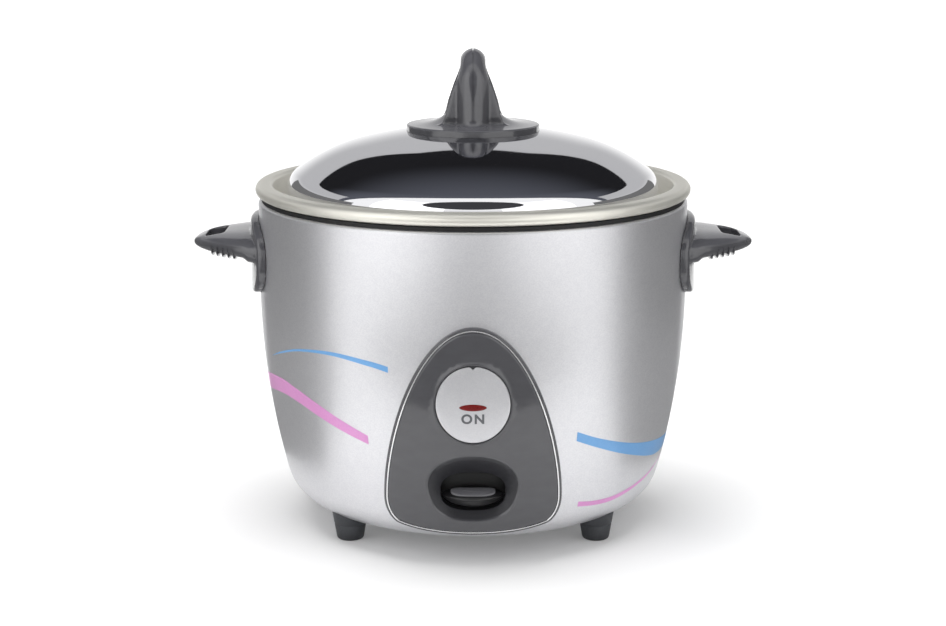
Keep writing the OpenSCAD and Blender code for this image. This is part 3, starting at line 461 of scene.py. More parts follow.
class Trees:
    """The geometry trees that more than one sub-assembly uses."""

    def __init__(self) -> None:
        """Builds both trees."""
        self.spin = self._spin()
        self.repeat = self._repeat()

    @staticmethod
    def _new(name: str) -> Tree:
        """A geometry tree with a mesh in and a mesh out.

        Args:
            name: The tree's name.

        Returns:
            The tree.
        """
        tree = bpy.data.node_groups.new(name, "GeometryNodeTree")
        socket(tree, "Geometry", "Geometry", out=True)
        socket(tree, "Geometry", "Geometry")
        return tree

    @staticmethod
    def _finish(tree: Tree, mesh: object, material: object) -> None:
        """Ends a tree in Realize Instances and Set Material.

        Args:
            tree: The tree.
            mesh: The socket that gives the mesh.
            material: The socket that gives the material.
        """
        real = add(tree, "GeometryNodeRealizeInstances", {"Geometry": mesh})
        dressed = add(tree, "GeometryNodeSetMaterial", {"Geometry": real.outputs[0], "Material": material})
        add(tree, "NodeGroupOutput", {0: dressed.outputs[0]})

    def _spin(self) -> Tree:
        """Turns a profile, a row of points in X and Z, once round the Z axis.

        Returns:
            The tree.
        """
        tree = self._new("spin_profile")
        socket(tree, "Steps", "Int", value=192)
        socket(tree, "Material", "Material")
        given = add(tree, "NodeGroupInput")
        rows = add(tree, "GeometryNodeAttributeDomainSize", {"Geometry": given.outputs["Geometry"]})
        columns = maths(tree, "ADD", given.outputs["Steps"], 1)
        grid = add(tree, "GeometryNodeMeshGrid", {
            "Vertices X": rows.outputs["Point Count"], "Vertices Y": columns})
        index = add(tree, "GeometryNodeInputIndex").outputs[0]
        row = maths(tree, "FLOOR", maths(tree, "DIVIDE", maths(tree, "ADD", index, 0.5), columns))
        column = maths(tree, "SUBTRACT", index, maths(tree, "MULTIPLY", row, columns))
        place = add(tree, "GeometryNodeInputPosition").outputs[0]
        picked = add(tree, "GeometryNodeSampleIndex", data_type="FLOAT_VECTOR")
        tree.links.new(given.outputs["Geometry"], picked.inputs["Geometry"])
        vector_in = next(s for s in picked.inputs if s.name == "Value" and s.type == "VECTOR")
        tree.links.new(place, vector_in)
        tree.links.new(row, picked.inputs["Index"])
        vector_out = next(s for s in picked.outputs if s.type == "VECTOR")
        profile = add(tree, "ShaderNodeSeparateXYZ", {0: vector_out})
        angle = maths(tree, "MULTIPLY", maths(tree, "DIVIDE", column, given.outputs["Steps"]), 2 * math.pi)
        across = maths(tree, "MULTIPLY", profile.outputs["X"], maths(tree, "COSINE", angle))
        along = maths(tree, "MULTIPLY", profile.outputs["X"], maths(tree, "SINE", angle))
        where = add(tree, "ShaderNodeCombineXYZ", {"X": across, "Y": along, "Z": profile.outputs["Z"]})
        moved = add(tree, "GeometryNodeSetPosition", {
            "Geometry": grid.outputs["Mesh"], "Position": where.outputs[0]})
        closed = add(tree, "GeometryNodeMergeByDistance", {"Geometry": moved.outputs[0], "Distance": 2e-6})
        self._finish(tree, closed.outputs[0], given.outputs["Material"])
        return tree

    def _repeat(self) -> Tree:
        """Puts a copy of an object at each point of a mesh, turned and sized as the point says.

        Returns:
            The tree.
        """
        tree = self._new("repeat_object")
        socket(tree, "Copy", "Object")
        socket(tree, "Material", "Material")
        given = add(tree, "NodeGroupInput")
        copy = add(tree, "GeometryNodeObjectInfo", {"Object": given.outputs["Copy"]},
                   transform_space="ORIGINAL")
        turn = add(tree, "GeometryNodeInputNamedAttribute", {"Name": "turn"}, data_type="FLOAT_VECTOR")
        size = add(tree, "GeometryNodeInputNamedAttribute", {"Name": "size"}, data_type="FLOAT_VECTOR")
        put = add(tree, "GeometryNodeInstanceOnPoints", {
            "Points": given.outputs["Geometry"], "Instance": copy.outputs["Geometry"],
            "Scale": size.outputs[0]})
        euler = add(tree, "FunctionNodeEulerToRotation", {0: turn.outputs[0]})
        tree.links.new(euler.outputs[0], put.inputs["Rotation"])
        self._finish(tree, put.outputs[0], given.outputs["Material"])
        return tree


TREES: Trees


def spun(name: str, profile: Sequence[Flat], finish: bpy.types.Material, steps: int = 192,
         sharp: float = 35.0) -> Thing:
    """A spun or turned piece from its profile.

    Args:
        name: The piece's name.
        profile: The profile's points as radius and height; a closed one ends on its first point.
        finish: The piece's material.
        steps: How many facets go round.
        sharp: The angle in degrees above which an edge is hard.

    Returns:
        The piece, its faces turned outwards.
    """
    mesh = bpy.data.meshes.new(name)
    edges = [(i, i + 1) for i in range(len(profile) - 1)]
    mesh.from_pydata([(r * MM, 0, z * MM) for r, z in profile], edges, [])
    row = placed(name + "_profile", mesh)
    thing = run_modifier(row, TREES.spin, {"Steps": steps, "Material": finish}, name, sharp)
    form = Form()
    form.bm.from_mesh(thing.data)
    bpy.data.objects.remove(thing)
    thing = form.piece(name, sharp)
    thing.data.materials.append(finish)
    return thing


def repeated(name: str, copy: Thing, places: Sequence[Solid], turns: Sequence[Solid],
             finish: bpy.types.Material, sizes: Sequence[Solid] | None = None) -> Thing:
    """One mesh of many copies.

    Args:
        name: The piece's name.
        copy: The object that is repeated.
        places: Where the copies go, in millimetres.
        turns: How each is turned about X, Y and Z, in degrees.
        finish: The piece's material.
        sizes: Each copy's size along X, Y and Z, or None for its own size.

    Returns:
        The piece.
    """
    mesh = bpy.data.meshes.new(name)
    mesh.from_pydata([Vector(p) * MM for p in places], [], [])
    turn = mesh.attributes.new("turn", "FLOAT_VECTOR", "POINT")
    turn.data.foreach_set("vector", [math.radians(a) for angles in turns for a in angles])
    size = mesh.attributes.new("size", "FLOAT_VECTOR", "POINT")
    size.data.foreach_set("vector", [s for three in (sizes or [(1, 1, 1)] * len(places)) for s in three])
    points = placed(name + "_places", mesh)
    thing = run_modifier(points, TREES.repeat, {"Copy": copy, "Material": finish}, name)
    bpy.data.objects.remove(copy)
    return thing


# ---- Finishes ----


def srgb(r: int, g: int, b: int) -> tuple[float, float, float, float]:
    """A colour as written on a chart, 0 to 255, in the linear values that a shader takes."""
    line = [c / 255 / 12.92 if c <= 10 else ((c / 255 + 0.055) / 1.055) ** 2.4 for c in (r, g, b)]
    return (*line, 1.0)


class Pattern(Enum):
    """The surface patterns, each a shader node group with the same sockets."""

    MOULDED = "moulded_skin"
    FLAKE = "metal_flake"
    SPUN = "spun_lines"
    ROLLED = "rolled_sheet"
    CAST = "cast_grain"


class Patterns:
    """Builds each pattern's node group once: inputs Scale and Contrast, outputs Mask and Height."""

    def __init__(self) -> None:
        """Builds the groups."""
        makers = {
            Pattern.MOULDED: self._moulded, Pattern.FLAKE: self._flake, Pattern.SPUN: self._spun,
            Pattern.ROLLED: self._rolled, Pattern.CAST: self._cast}
        self.groups = {pattern: self._group(pattern.value, maker) for pattern, maker in makers.items()}
        self.smudge = self._group("handling_marks", self._smudge)

    @staticmethod
    def _group(name: str, maker: Callable[[Tree, object, object], tuple[object, object]]) -> Tree:
        """A group with the shared sockets.

        Args:
            name: The group's name.
            maker: Adds the nodes and returns the mask's and the height's sockets.

        Returns:
            The group.
        """
        tree = bpy.data.node_groups.new(name, "ShaderNodeTree")
        socket(tree, "Scale", "Float", value=1.0)
        socket(tree, "Contrast", "Float", value=1.0)
        socket(tree, "Mask", "Float", out=True)
        socket(tree, "Height", "Float", out=True)
        given = add(tree, "NodeGroupInput")
        spot = add(tree, "ShaderNodeTexCoord").outputs["Object"]
        mask, height = maker(tree, spot, given.outputs["Scale"])
        centred = maths(tree, "SUBTRACT", mask, 0.5)
        spread = maths(tree, "MULTIPLY_ADD", centred, given.outputs["Contrast"], 0.5, clamp=True)
        add(tree, "NodeGroupOutput", {0: spread, 1: height})
        return tree

    @staticmethod
    def _noise(tree: Tree, spot: object, scale: object, detail: float, stretch: Solid = (1, 1, 1)) -> object:
        """A noise texture's value, its pattern stretched along the axes."""
        mapped = add(tree, "ShaderNodeMapping", {"Vector": spot, "Scale": stretch}).outputs[0]
        return add(tree, "ShaderNodeTexNoise", {"Vector": mapped, "Scale": scale, "Detail": detail}).outputs[0]

    def _moulded(self, tree: Tree, spot: object, scale: object) -> tuple[object, object]:
        """Moulded plastic: a faint flow mottle over a very fine skin.

        Args:
            tree: The group's tree.
            spot: The place on the object.
            scale: How fine the pattern is.

        Returns:
            The mask's and the height's sockets.
        """
        flow = self._noise(tree, spot, maths(tree, "MULTIPLY", scale, 0.08), 3.0, (1, 1, 2.2))
        fine = self._noise(tree, spot, scale, 2.0)
        height = maths(tree, "MULTIPLY_ADD", flow, 1.6, fine)
        return flow, height

    def _flake(self, tree: Tree, spot: object, scale: object) -> tuple[object, object]:
        """Metallic paint: small flakes that tilt each their own way, in drifts of light and dark.

        Args:
            tree: The group's tree.
            spot: The place on the object.
            scale: How fine the pattern is.

        Returns:
            The mask's and the height's sockets.
        """
        cells = add(tree, "ShaderNodeTexVoronoi", {"Vector": spot, "Scale": scale})
        tint = add(tree, "ShaderNodeSeparateColor", {0: cells.outputs["Color"]})
        drift = self._noise(tree, spot, maths(tree, "MULTIPLY", scale, 0.12), 4.0)
        mask = maths(tree, "MULTIPLY_ADD", drift, 0.45, maths(tree, "MULTIPLY", tint.outputs[0], 0.55))
        return mask, tint.outputs[1]

    def _spun(self, tree: Tree, spot: object, scale: object) -> tuple[object, object]:
        """Lathe lines: rings about the Z axis, uneven in depth.

        Args:
            tree: The group's tree.
            spot: The place on the object.
            scale: How fine the pattern is.

        Returns:
            The mask's and the height's sockets.
        """
        part = add(tree, "ShaderNodeSeparateXYZ", {0: spot})
        square = maths(tree, "ADD", maths(tree, "MULTIPLY", part.outputs[0], part.outputs[0]),
                       maths(tree, "MULTIPLY", part.outputs[1], part.outputs[1]))
        radius = maths(tree, "SQRT", square)
        line = add(tree, "ShaderNodeCombineXYZ", {"X": radius, "Y": part.outputs["Z"]}).outputs[0]
        rings = self._noise(tree, line, scale, 5.0)
        cloud = self._noise(tree, spot, maths(tree, "MULTIPLY", scale, 0.02), 2.0)
        return maths(tree, "MULTIPLY_ADD", cloud, 0.4, maths(tree, "MULTIPLY", rings, 0.6)), rings

    def _rolled(self, tree: Tree, spot: object, scale: object) -> tuple[object, object]:
        """Rolled sheet: long streaks along X with crystals of plating.

        Args:
            tree: The group's tree.
            spot: The place on the object.
            scale: How fine the pattern is.

        Returns:
            The mask's and the height's sockets.
        """
        streak = self._noise(tree, spot, scale, 4.0, (0.04, 1, 1))
        coarse = maths(tree, "MULTIPLY", scale, 0.2)
        crystal = add(tree, "ShaderNodeTexVoronoi", {"Vector": spot, "Scale": coarse})
        tint = add(tree, "ShaderNodeSeparateColor", {0: crystal.outputs["Color"]})
        return maths(tree, "MULTIPLY_ADD", streak, 0.6, maths(tree, "MULTIPLY", tint.outputs[0], 0.4)), streak

    def _cast(self, tree: Tree, spot: object, scale: object) -> tuple[object, object]:
        """Cast or fired surface: coarse grain with pits.

        Args:
            tree: The group's tree.
            spot: The place on the object.
            scale: How fine the pattern is.

        Returns:
            The mask's and the height's sockets.
        """
        grain = self._noise(tree, spot, scale, 6.0)
        pits = add(tree, "ShaderNodeTexVoronoi", {"Vector": spot, "Scale": maths(tree, "MULTIPLY", scale, 0.5)})
        return grain, maths(tree, "MULTIPLY_ADD", pits.outputs["Distance"], 0.7, grain)

    def _smudge(self, tree: Tree, spot: object, scale: object) -> tuple[object, object]:
        """Handling marks: soft broad patches with a few fine wipes through them.

        Args:
            tree: The group's tree.
            spot: The place on the object.
            scale: How fine the pattern is.

        Returns:
            The mask's and the height's sockets.
        """
        broad = self._noise(tree, spot, scale, 3.0)
        wipes = self._noise(tree, spot, maths(tree, "MULTIPLY", scale, 6.0), 2.0, (0.3, 1, 1.4))
        mask = maths(tree, "MULTIPLY_ADD", wipes, 0.3, maths(tree, "MULTIPLY", broad, 0.7))
        return mask, mask


PATTERNS: Patterns


@dataclass(frozen=True)
class Finish:
    """An opaque finish: colour, gloss and the pattern that breaks them up.

    Attributes:
        name: The material's name.
        colour, second: The two colours that the pattern mixes.
        rough: The range of roughness, which handling marks vary.
        pattern: The surface pattern.
        scale, contrast: How fine and how strong the pattern is.
        relief: The pattern's depth, in millimetres.
        smudge: How fine the handling marks are.
        metallic, coat, coat_rough, specular: The shader's own values.
    """

    name: str
    colour: tuple[float, float, float, float]
    second: tuple[float, float, float, float]
    rough: Flat
    pattern: Pattern = Pattern.MOULDED
    scale: float = 900.0
    contrast: float = 1.6
    relief: float = 0.02
    smudge: float = 18.0
    metallic: float = 0.0
    coat: float = 0.0
    coat_rough: float = 0.06
    specular: float = 0.5

    def material(self) -> bpy.types.Material:
        """The finish as a material.

        Returns:
            The material.
        """
        material = bpy.data.materials.new(self.name)
        tree = emptied(material)
        skin = add(tree, "ShaderNodeGroup", {"Scale": self.scale, "Contrast": self.contrast},
                   node_tree=PATTERNS.groups[self.pattern])
        marks = add(tree, "ShaderNodeGroup", {"Scale": self.smudge, "Contrast": SMUDGE_CONTRAST},
                    node_tree=PATTERNS.smudge)
        tint = add(tree, "ShaderNodeMix", {0: skin.outputs["Mask"], FIRST: self.colour, SECOND: self.second},
                   data_type="RGBA")
        rough = add(tree, "ShaderNodeMapRange", {
            "Value": marks.outputs["Mask"], "To Min": self.rough[0], "To Max": self.rough[1]})
        bump = add(tree, "ShaderNodeBump", {
            "Height": skin.outputs["Height"], "Strength": 1.0, "Distance": self.relief * MM})
        shader = add(tree, "ShaderNodeBsdfPrincipled", {
            "Base Color": tint.outputs[MIXED], "Roughness": rough.outputs[0],
            "Metallic": self.metallic, "Coat Weight": self.coat, "Coat Roughness": self.coat_rough,
            "Specular IOR Level": self.specular, "Normal": bump.outputs[0]})
        add(tree, "ShaderNodeOutputMaterial", {0: shader.outputs[0]})
        return material


@dataclass(frozen=True)
class ClearFinish:
    """A see-through finish, such as a tinted lens or a lamp's glass, with an optional painted glow: emission on
    a part that no lit lamp shines through.
    """

    name: str
    colour: tuple[float, float, float, float]
    rough: Flat
    # painted glow: emission in the finish's own colour, though no lamp behind it is lit
    painted_glow: float = 0.0

    def material(self) -> bpy.types.Material:
        """The finish as a material.

        Returns:
            The material.
        """
        material = bpy.data.materials.new(self.name)
        tree = emptied(material)
        marks = add(tree, "ShaderNodeGroup", {"Scale": CLEAR_SMUDGE}, node_tree=PATTERNS.smudge)
        rough = add(tree, "ShaderNodeMapRange", {
            "Value": marks.outputs["Mask"], "To Min": self.rough[0], "To Max": self.rough[1]})
        shader = add(tree, "ShaderNodeBsdfPrincipled", {
            "Base Color": self.colour, "Roughness": rough.outputs[0], "Transmission Weight": 0.6, "IOR": 1.49,
            "Specular IOR Level": 0.2, "Emission Color": self.colour, "Emission Strength": self.painted_glow})
        add(tree, "ShaderNodeOutputMaterial", {0: shader.outputs[0]})
        return material


# Each slot's finish: its name, the two colours that its pattern mixes, and what differs from the plain plastic.
FINISHES: dict[str, Finish | ClearFinish] = {
    "shell_paint": Finish(
        "silver_paint", srgb(212, 212, 216), srgb(228, 228, 230), rough=(0.36, 0.42), pattern=Pattern.FLAKE,
        scale=2200, contrast=1.0, relief=0.006, smudge=9, metallic=0.88, coat=0.2, coat_rough=0.12),
    "liner_black": Finish(
        "liner_enamel", srgb(12, 12, 13), srgb(20, 20, 21), rough=(0.5, 0.66), pattern=Pattern.CAST, scale=700,
        contrast=1.5, relief=0.03),
    "plated_steel": Finish(
        "plated_steel", srgb(176, 178, 180), srgb(202, 203, 203), rough=(0.28, 0.42), pattern=Pattern.ROLLED,
        scale=900, contrast=1.6, relief=0.01, smudge=16, metallic=1.0),
    "screw_steel": Finish(
        "screw_steel", srgb(188, 188, 186), srgb(214, 213, 210), rough=(0.22, 0.36), pattern=Pattern.ROLLED,
        scale=2400, contrast=1.4, relief=0.01, smudge=60, metallic=1.0),
    "foot_rubber": Finish(
        "foot_rubber", srgb(52, 54, 58), srgb(66, 68, 72), rough=(0.5, 0.66), pattern=Pattern.CAST, scale=2200,
        contrast=1.6, relief=0.04),
    "grey_plastic": Finish(
        "grey_plastic", srgb(74, 74, 78), srgb(80, 80, 84), rough=(0.12, 0.19), pattern=Pattern.MOULDED,
        scale=1200, contrast=1.5, relief=0.003, smudge=24, coat=0.3, coat_rough=0.07, specular=0.62),
    "badge_silver": Finish(
        "badge_silver", srgb(204, 204, 208), srgb(216, 216, 218), rough=(0.3, 0.42), pattern=Pattern.FLAKE,
        scale=3000, contrast=1.2, relief=0.004, smudge=60, metallic=0.6, coat=0.3),
    # The red lens's emission is painted glow; the lamp behind it is not lit.
    "lens_red": ClearFinish("lens_red", srgb(130, 6, 3), rough=(0.24, 0.3), painted_glow=0.12),
    "lamp_glass": ClearFinish("lamp_glass", srgb(250, 206, 160), rough=(0.02, 0.08)),
    "black_plastic": Finish(
        "black_plastic", srgb(14, 14, 15), srgb(22, 22, 24), rough=(0.3, 0.42), pattern=Pattern.MOULDED,
        scale=1400, contrast=1.5, relief=0.006, smudge=40, coat=0.1),
    "pad_grey": Finish(
        "pad_grey", srgb(96, 96, 100), srgb(110, 110, 114), rough=(0.3, 0.42), pattern=Pattern.CAST, scale=3200,
        contrast=1.5, relief=0.012, smudge=90),
    "plunger_red": Finish("plunger_red", srgb(170, 30, 26), srgb(186, 44, 38), rough=(0.3, 0.4)),
    "cast_aluminium": Finish(
        "cast_aluminium", srgb(186, 187, 188), srgb(210, 210, 208), rough=(0.34, 0.5), pattern=Pattern.SPUN,
        scale=1600, contrast=1.8, relief=0.02, smudge=22, metallic=1.0),
    "element_steel": Finish(
        "element_steel", srgb(120, 116, 110), srgb(150, 144, 136), rough=(0.4, 0.55), pattern=Pattern.CAST,
        scale=1500, contrast=1.6, relief=0.02, smudge=40, metallic=1.0),
    "ceramic_white": Finish(
        "ceramic_white", srgb(226, 222, 212), srgb(238, 236, 228), rough=(0.3, 0.5), pattern=Pattern.CAST,
        scale=1800),
    "brass_parts": Finish(
        "brass_parts", srgb(200, 168, 96), srgb(222, 192, 120), rough=(0.22, 0.36), pattern=Pattern.ROLLED,
        scale=2000, contrast=1.5, relief=0.01, smudge=60, metallic=1.0),
    "magnet_grey": Finish(
        "magnet_grey", srgb(62, 62, 66), srgb(82, 82, 86), rough=(0.45, 0.6), pattern=Pattern.CAST, scale=1600,
        contrast=1.7, relief=0.03),
    "rod_steel": Finish(
        "rod_steel", srgb(182, 182, 184), srgb(206, 206, 206), rough=(0.2, 0.32), pattern=Pattern.SPUN,
        scale=2600, contrast=1.4, relief=0.008, smudge=50, metallic=1.0),
    "spring_steel": Finish(
        "spring_steel", srgb(158, 158, 160), srgb(190, 190, 190), rough=(0.24, 0.36), pattern=Pattern.ROLLED,
        scale=2600, contrast=1.5, relief=0.01, smudge=60, metallic=1.0),
    "fuse_metal": Finish(
        "fuse_metal", srgb(190, 184, 170), srgb(212, 206, 192), rough=(0.26, 0.4), pattern=Pattern.ROLLED,
        scale=2400, contrast=1.5, relief=0.01, smudge=60, metallic=1.0),
    "wire_brown": Finish("wire_brown", srgb(92, 56, 34), srgb(108, 68, 44), rough=(0.42, 0.55)),
    "wire_blue": Finish("wire_blue", srgb(46, 80, 150), srgb(60, 96, 166), rough=(0.42, 0.55)),
    "wire_white": Finish("wire_white", srgb(222, 220, 214), srgb(234, 232, 228), rough=(0.42, 0.55)),
    "pan_aluminium": Finish(
        "pan_aluminium", srgb(236, 234, 224), srgb(244, 242, 233), rough=(0.4, 0.48), pattern=Pattern.SPUN,
        scale=2600, contrast=1.2, relief=0.002, smudge=20, metallic=0.85),
    "lid_steel": Finish(
        "lid_steel", srgb(238, 238, 241), srgb(246, 246, 248), rough=(0.03, 0.06), pattern=Pattern.SPUN,
        scale=2600, contrast=1.2, relief=0.0012, smudge=26, metallic=1.0),
}

# Finishes that lie over a slot's own: the stripes' inks, the painted shade in the lever's bowl, the panel's
# bright line and the letters.
PRINTS: dict[str, Finish] = {
    "blue": Finish(
        "stripe_blue", srgb(112, 172, 230), srgb(122, 180, 234), rough=(0.34, 0.44), pattern=Pattern.FLAKE,
        scale=1500, contrast=1.2, relief=0.004, smudge=20, metallic=0.15, coat=0.3),
    "pink": Finish(
        "stripe_pink", srgb(228, 152, 214), srgb(234, 164, 220), rough=(0.34, 0.44), pattern=Pattern.FLAKE,
        scale=1500, contrast=1.2, relief=0.004, smudge=20, metallic=0.15, coat=0.3),
    # The bowl's darker grey is painted shade: it stands for the recess's self-shadow and dark reflections, not
    # for a darker plastic.
    "bowl": Finish(
        "bowl_dull", srgb(46, 46, 50), srgb(52, 52, 56), rough=(0.34, 0.42), pattern=Pattern.MOULDED,
        scale=1400, contrast=1.4, relief=0.002, smudge=30, specular=0.4),
    "trim": Finish(
        "trim_silver", srgb(236, 236, 238), srgb(246, 246, 246), rough=(0.16, 0.26), pattern=Pattern.ROLLED,
        scale=2400, contrast=1.3, relief=0.002, smudge=50, metallic=0.9),
    "grey": Finish(
        "print_grey", srgb(92, 94, 98), srgb(104, 106, 110), rough=(0.36, 0.46), pattern=Pattern.MOULDED,
        scale=1400, contrast=1.4, relief=0.004),
}


class Dresser:
    """Hands out each finish's material and dresses pieces in it."""

    def __init__(self) -> None:
        """Builds every material once."""
        self.by_slot = {slot: finish.material() for slot, finish in FINISHES.items()}
        self.prints = {name: finish.material() for name, finish in PRINTS.items()}

    def nodes(self, frame: dict) -> None:
        """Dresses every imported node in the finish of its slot.

        Args:
            frame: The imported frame, as it was loaded.
        """
        for subpart in frame["record"]["subparts"]:
            mesh = frame["nodes"][subpart["node"]].data
            mesh.materials.clear()
            mesh.materials.append(self.by_slot[subpart["material_slot"]])

    def piece(self, thing: Thing, slot: str, body: str, *stands_for: str, print_name: str = "") -> Thing:
        """Gives a piece its finish, its body and the nodes that it stands for.

        Args:
            thing: The finished piece, in place.
            slot: The record's material slot.
            body: The body that it moves with.
            stands_for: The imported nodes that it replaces.
            print_name: The print that covers it, if any.

        Returns:
            The piece.
        """
        material = self.prints[print_name] if print_name else self.by_slot[slot]
        thing.data.materials.clear()
        thing.data.materials.append(material)
        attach(thing, body)
        if stands_for:
            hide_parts(*stands_for)
        LOG.info("%s: %d faces, moves with %s", thing.name, len(thing.data.polygons), body)
        return thing


DRESSER: Dresser


# ---- Sub-assemblies ----


@dataclass
class ShellCurve:
    """The shell's side and bottom curves, which the panel, stripes and feet follow."""

    radius: float = 115.0
    top: float = 174.5
    bottom: float = 11.0
    belly_z: float = 129.0
    belly_curve: float = 400.0
    foot_curve: float = 22.0

    def __post_init__(self) -> None:
        """Works out where the curves meet."""
        self.belly_x = self.radius - self.belly_curve
        self.round_z = self.bottom + self.foot_curve
        drop = self.belly_z - self.round_z
        self.round_x = self.belly_x + math.sqrt((self.belly_curve - self.foot_curve) ** 2 - drop ** 2)
        self.blend = math.degrees(math.atan2(drop, self.round_x - self.belly_x))

    def at(self, z: float, d: float = 0.0) -> float:
        """Radius at height z of the face moved out by d.

        Args:
            z: The height.
            d: How far out the face is moved.

        Returns:
            The radius.
        """
        if z >= self.belly_z:
            return self.radius + d
        reach = self.belly_curve + d
        if self.belly_z - z <= reach * math.sin(math.radians(self.blend)):
            return self.belly_x + math.sqrt(reach ** 2 - (self.belly_z - z) ** 2)
        return self.round_x + math.sqrt(max(0.0, (self.foot_curve + d) ** 2 - (self.round_z - z) ** 2))

    def side(self, d: float, top: float, steps: int = 36) -> list[Flat]:
        """Profile of the face moved out by d, from the height top down to the flat bottom.

        Args:
            d: How far out the face is moved.
            top: The height at which it starts.
            steps: How many steps the long curve takes.

        Returns:
            The profile's points.
        """
        return ([(self.radius + d, top)]
                + arc((self.belly_x, self.belly_z), self.belly_curve + d, 0, -self.blend, steps)
                + arc((self.round_x, self.round_z), self.foot_curve + d, -self.blend, -90, steps // 2))

    def front(self, x: float, z: float, d: float = 0.0) -> Solid:
        """The point of the face, moved out by d, that lies x across and z up at the front."""
        return (x, -math.sqrt(max(0.0, self.at(z, d) ** 2 - x * x)), z)

    def round(self, angle: float, z: float, d: float = 0.0) -> Solid:
        """The point of the face, moved out by d, at an angle in degrees from the front towards +X."""
        r, t = self.at(z, d), math.radians(angle)
        return (r * math.sin(t), -r * math.cos(t), z)


@dataclass(frozen=True)
class Stripe:
    """A printed stripe, as knots of angle, top height and low height."""

    name: str
    ink: str
    knots: tuple[Solid, ...]

    def sampled(self, steps: int = 8) -> list[Solid]:
        """The knots with a smooth line through them.

        Args:
            steps: How many points each stretch between two knots gets.

        Returns:
            The points.
        """
        out = []
        k = self.knots
        for i in range(len(k) - 1):
            a, b, c, d = k[max(i - 1, 0)], k[i], k[i + 1], k[min(i + 2, len(k) - 1)]
            for j in range(steps):
                t = j / steps
                out.append(tuple(
                    0.5 * (2 * b[n] + (c[n] - a[n]) * t + (2 * a[n] - 5 * b[n] + 4 * c[n] - d[n]) * t * t
                           + (3 * b[n] - a[n] - 3 * c[n] + d[n]) * t ** 3) for n in range(3)))
        return out + [k[-1]]


STRIPES = (
    Stripe("stripe_blue_left", "blue", (
        (-68, 96.5, 96.4), (-60, 102.2, 101.2), (-50, 107.2, 106), (-38, 109.6, 107.7), (-27, 108, 105.3),
        (-21.5, 106, 103))),
    Stripe("stripe_pink_left", "pink", (
        (-118, 60, 59.9), (-100, 72, 66), (-82, 81.5, 73), (-64, 86.5, 78.3), (-54, 84.6, 77.4),
        (-46, 80.5, 73.7), (-38, 75, 69), (-28.5, 68.1, 63.5))),
    Stripe("stripe_blue_right", "blue", (
        (28.2, 70.3, 65.4), (35, 65, 59.9), (44, 59.5, 53.5), (52, 55.7, 48.8), (60, 53, 44.8), (68, 51, 42.5),
        (82, 49, 42.5), (102, 51, 48), (118, 54, 53.9))),
    Stripe("stripe_pink_right", "pink", (
        (31.5, 30.6, 27.8), (37, 29.1, 26.6), (44, 28.6, 26.1), (51, 29.6, 27.5), (61, 32.1, 30.5),
        (67, 34, 33), (76, 38, 37.9))),
)


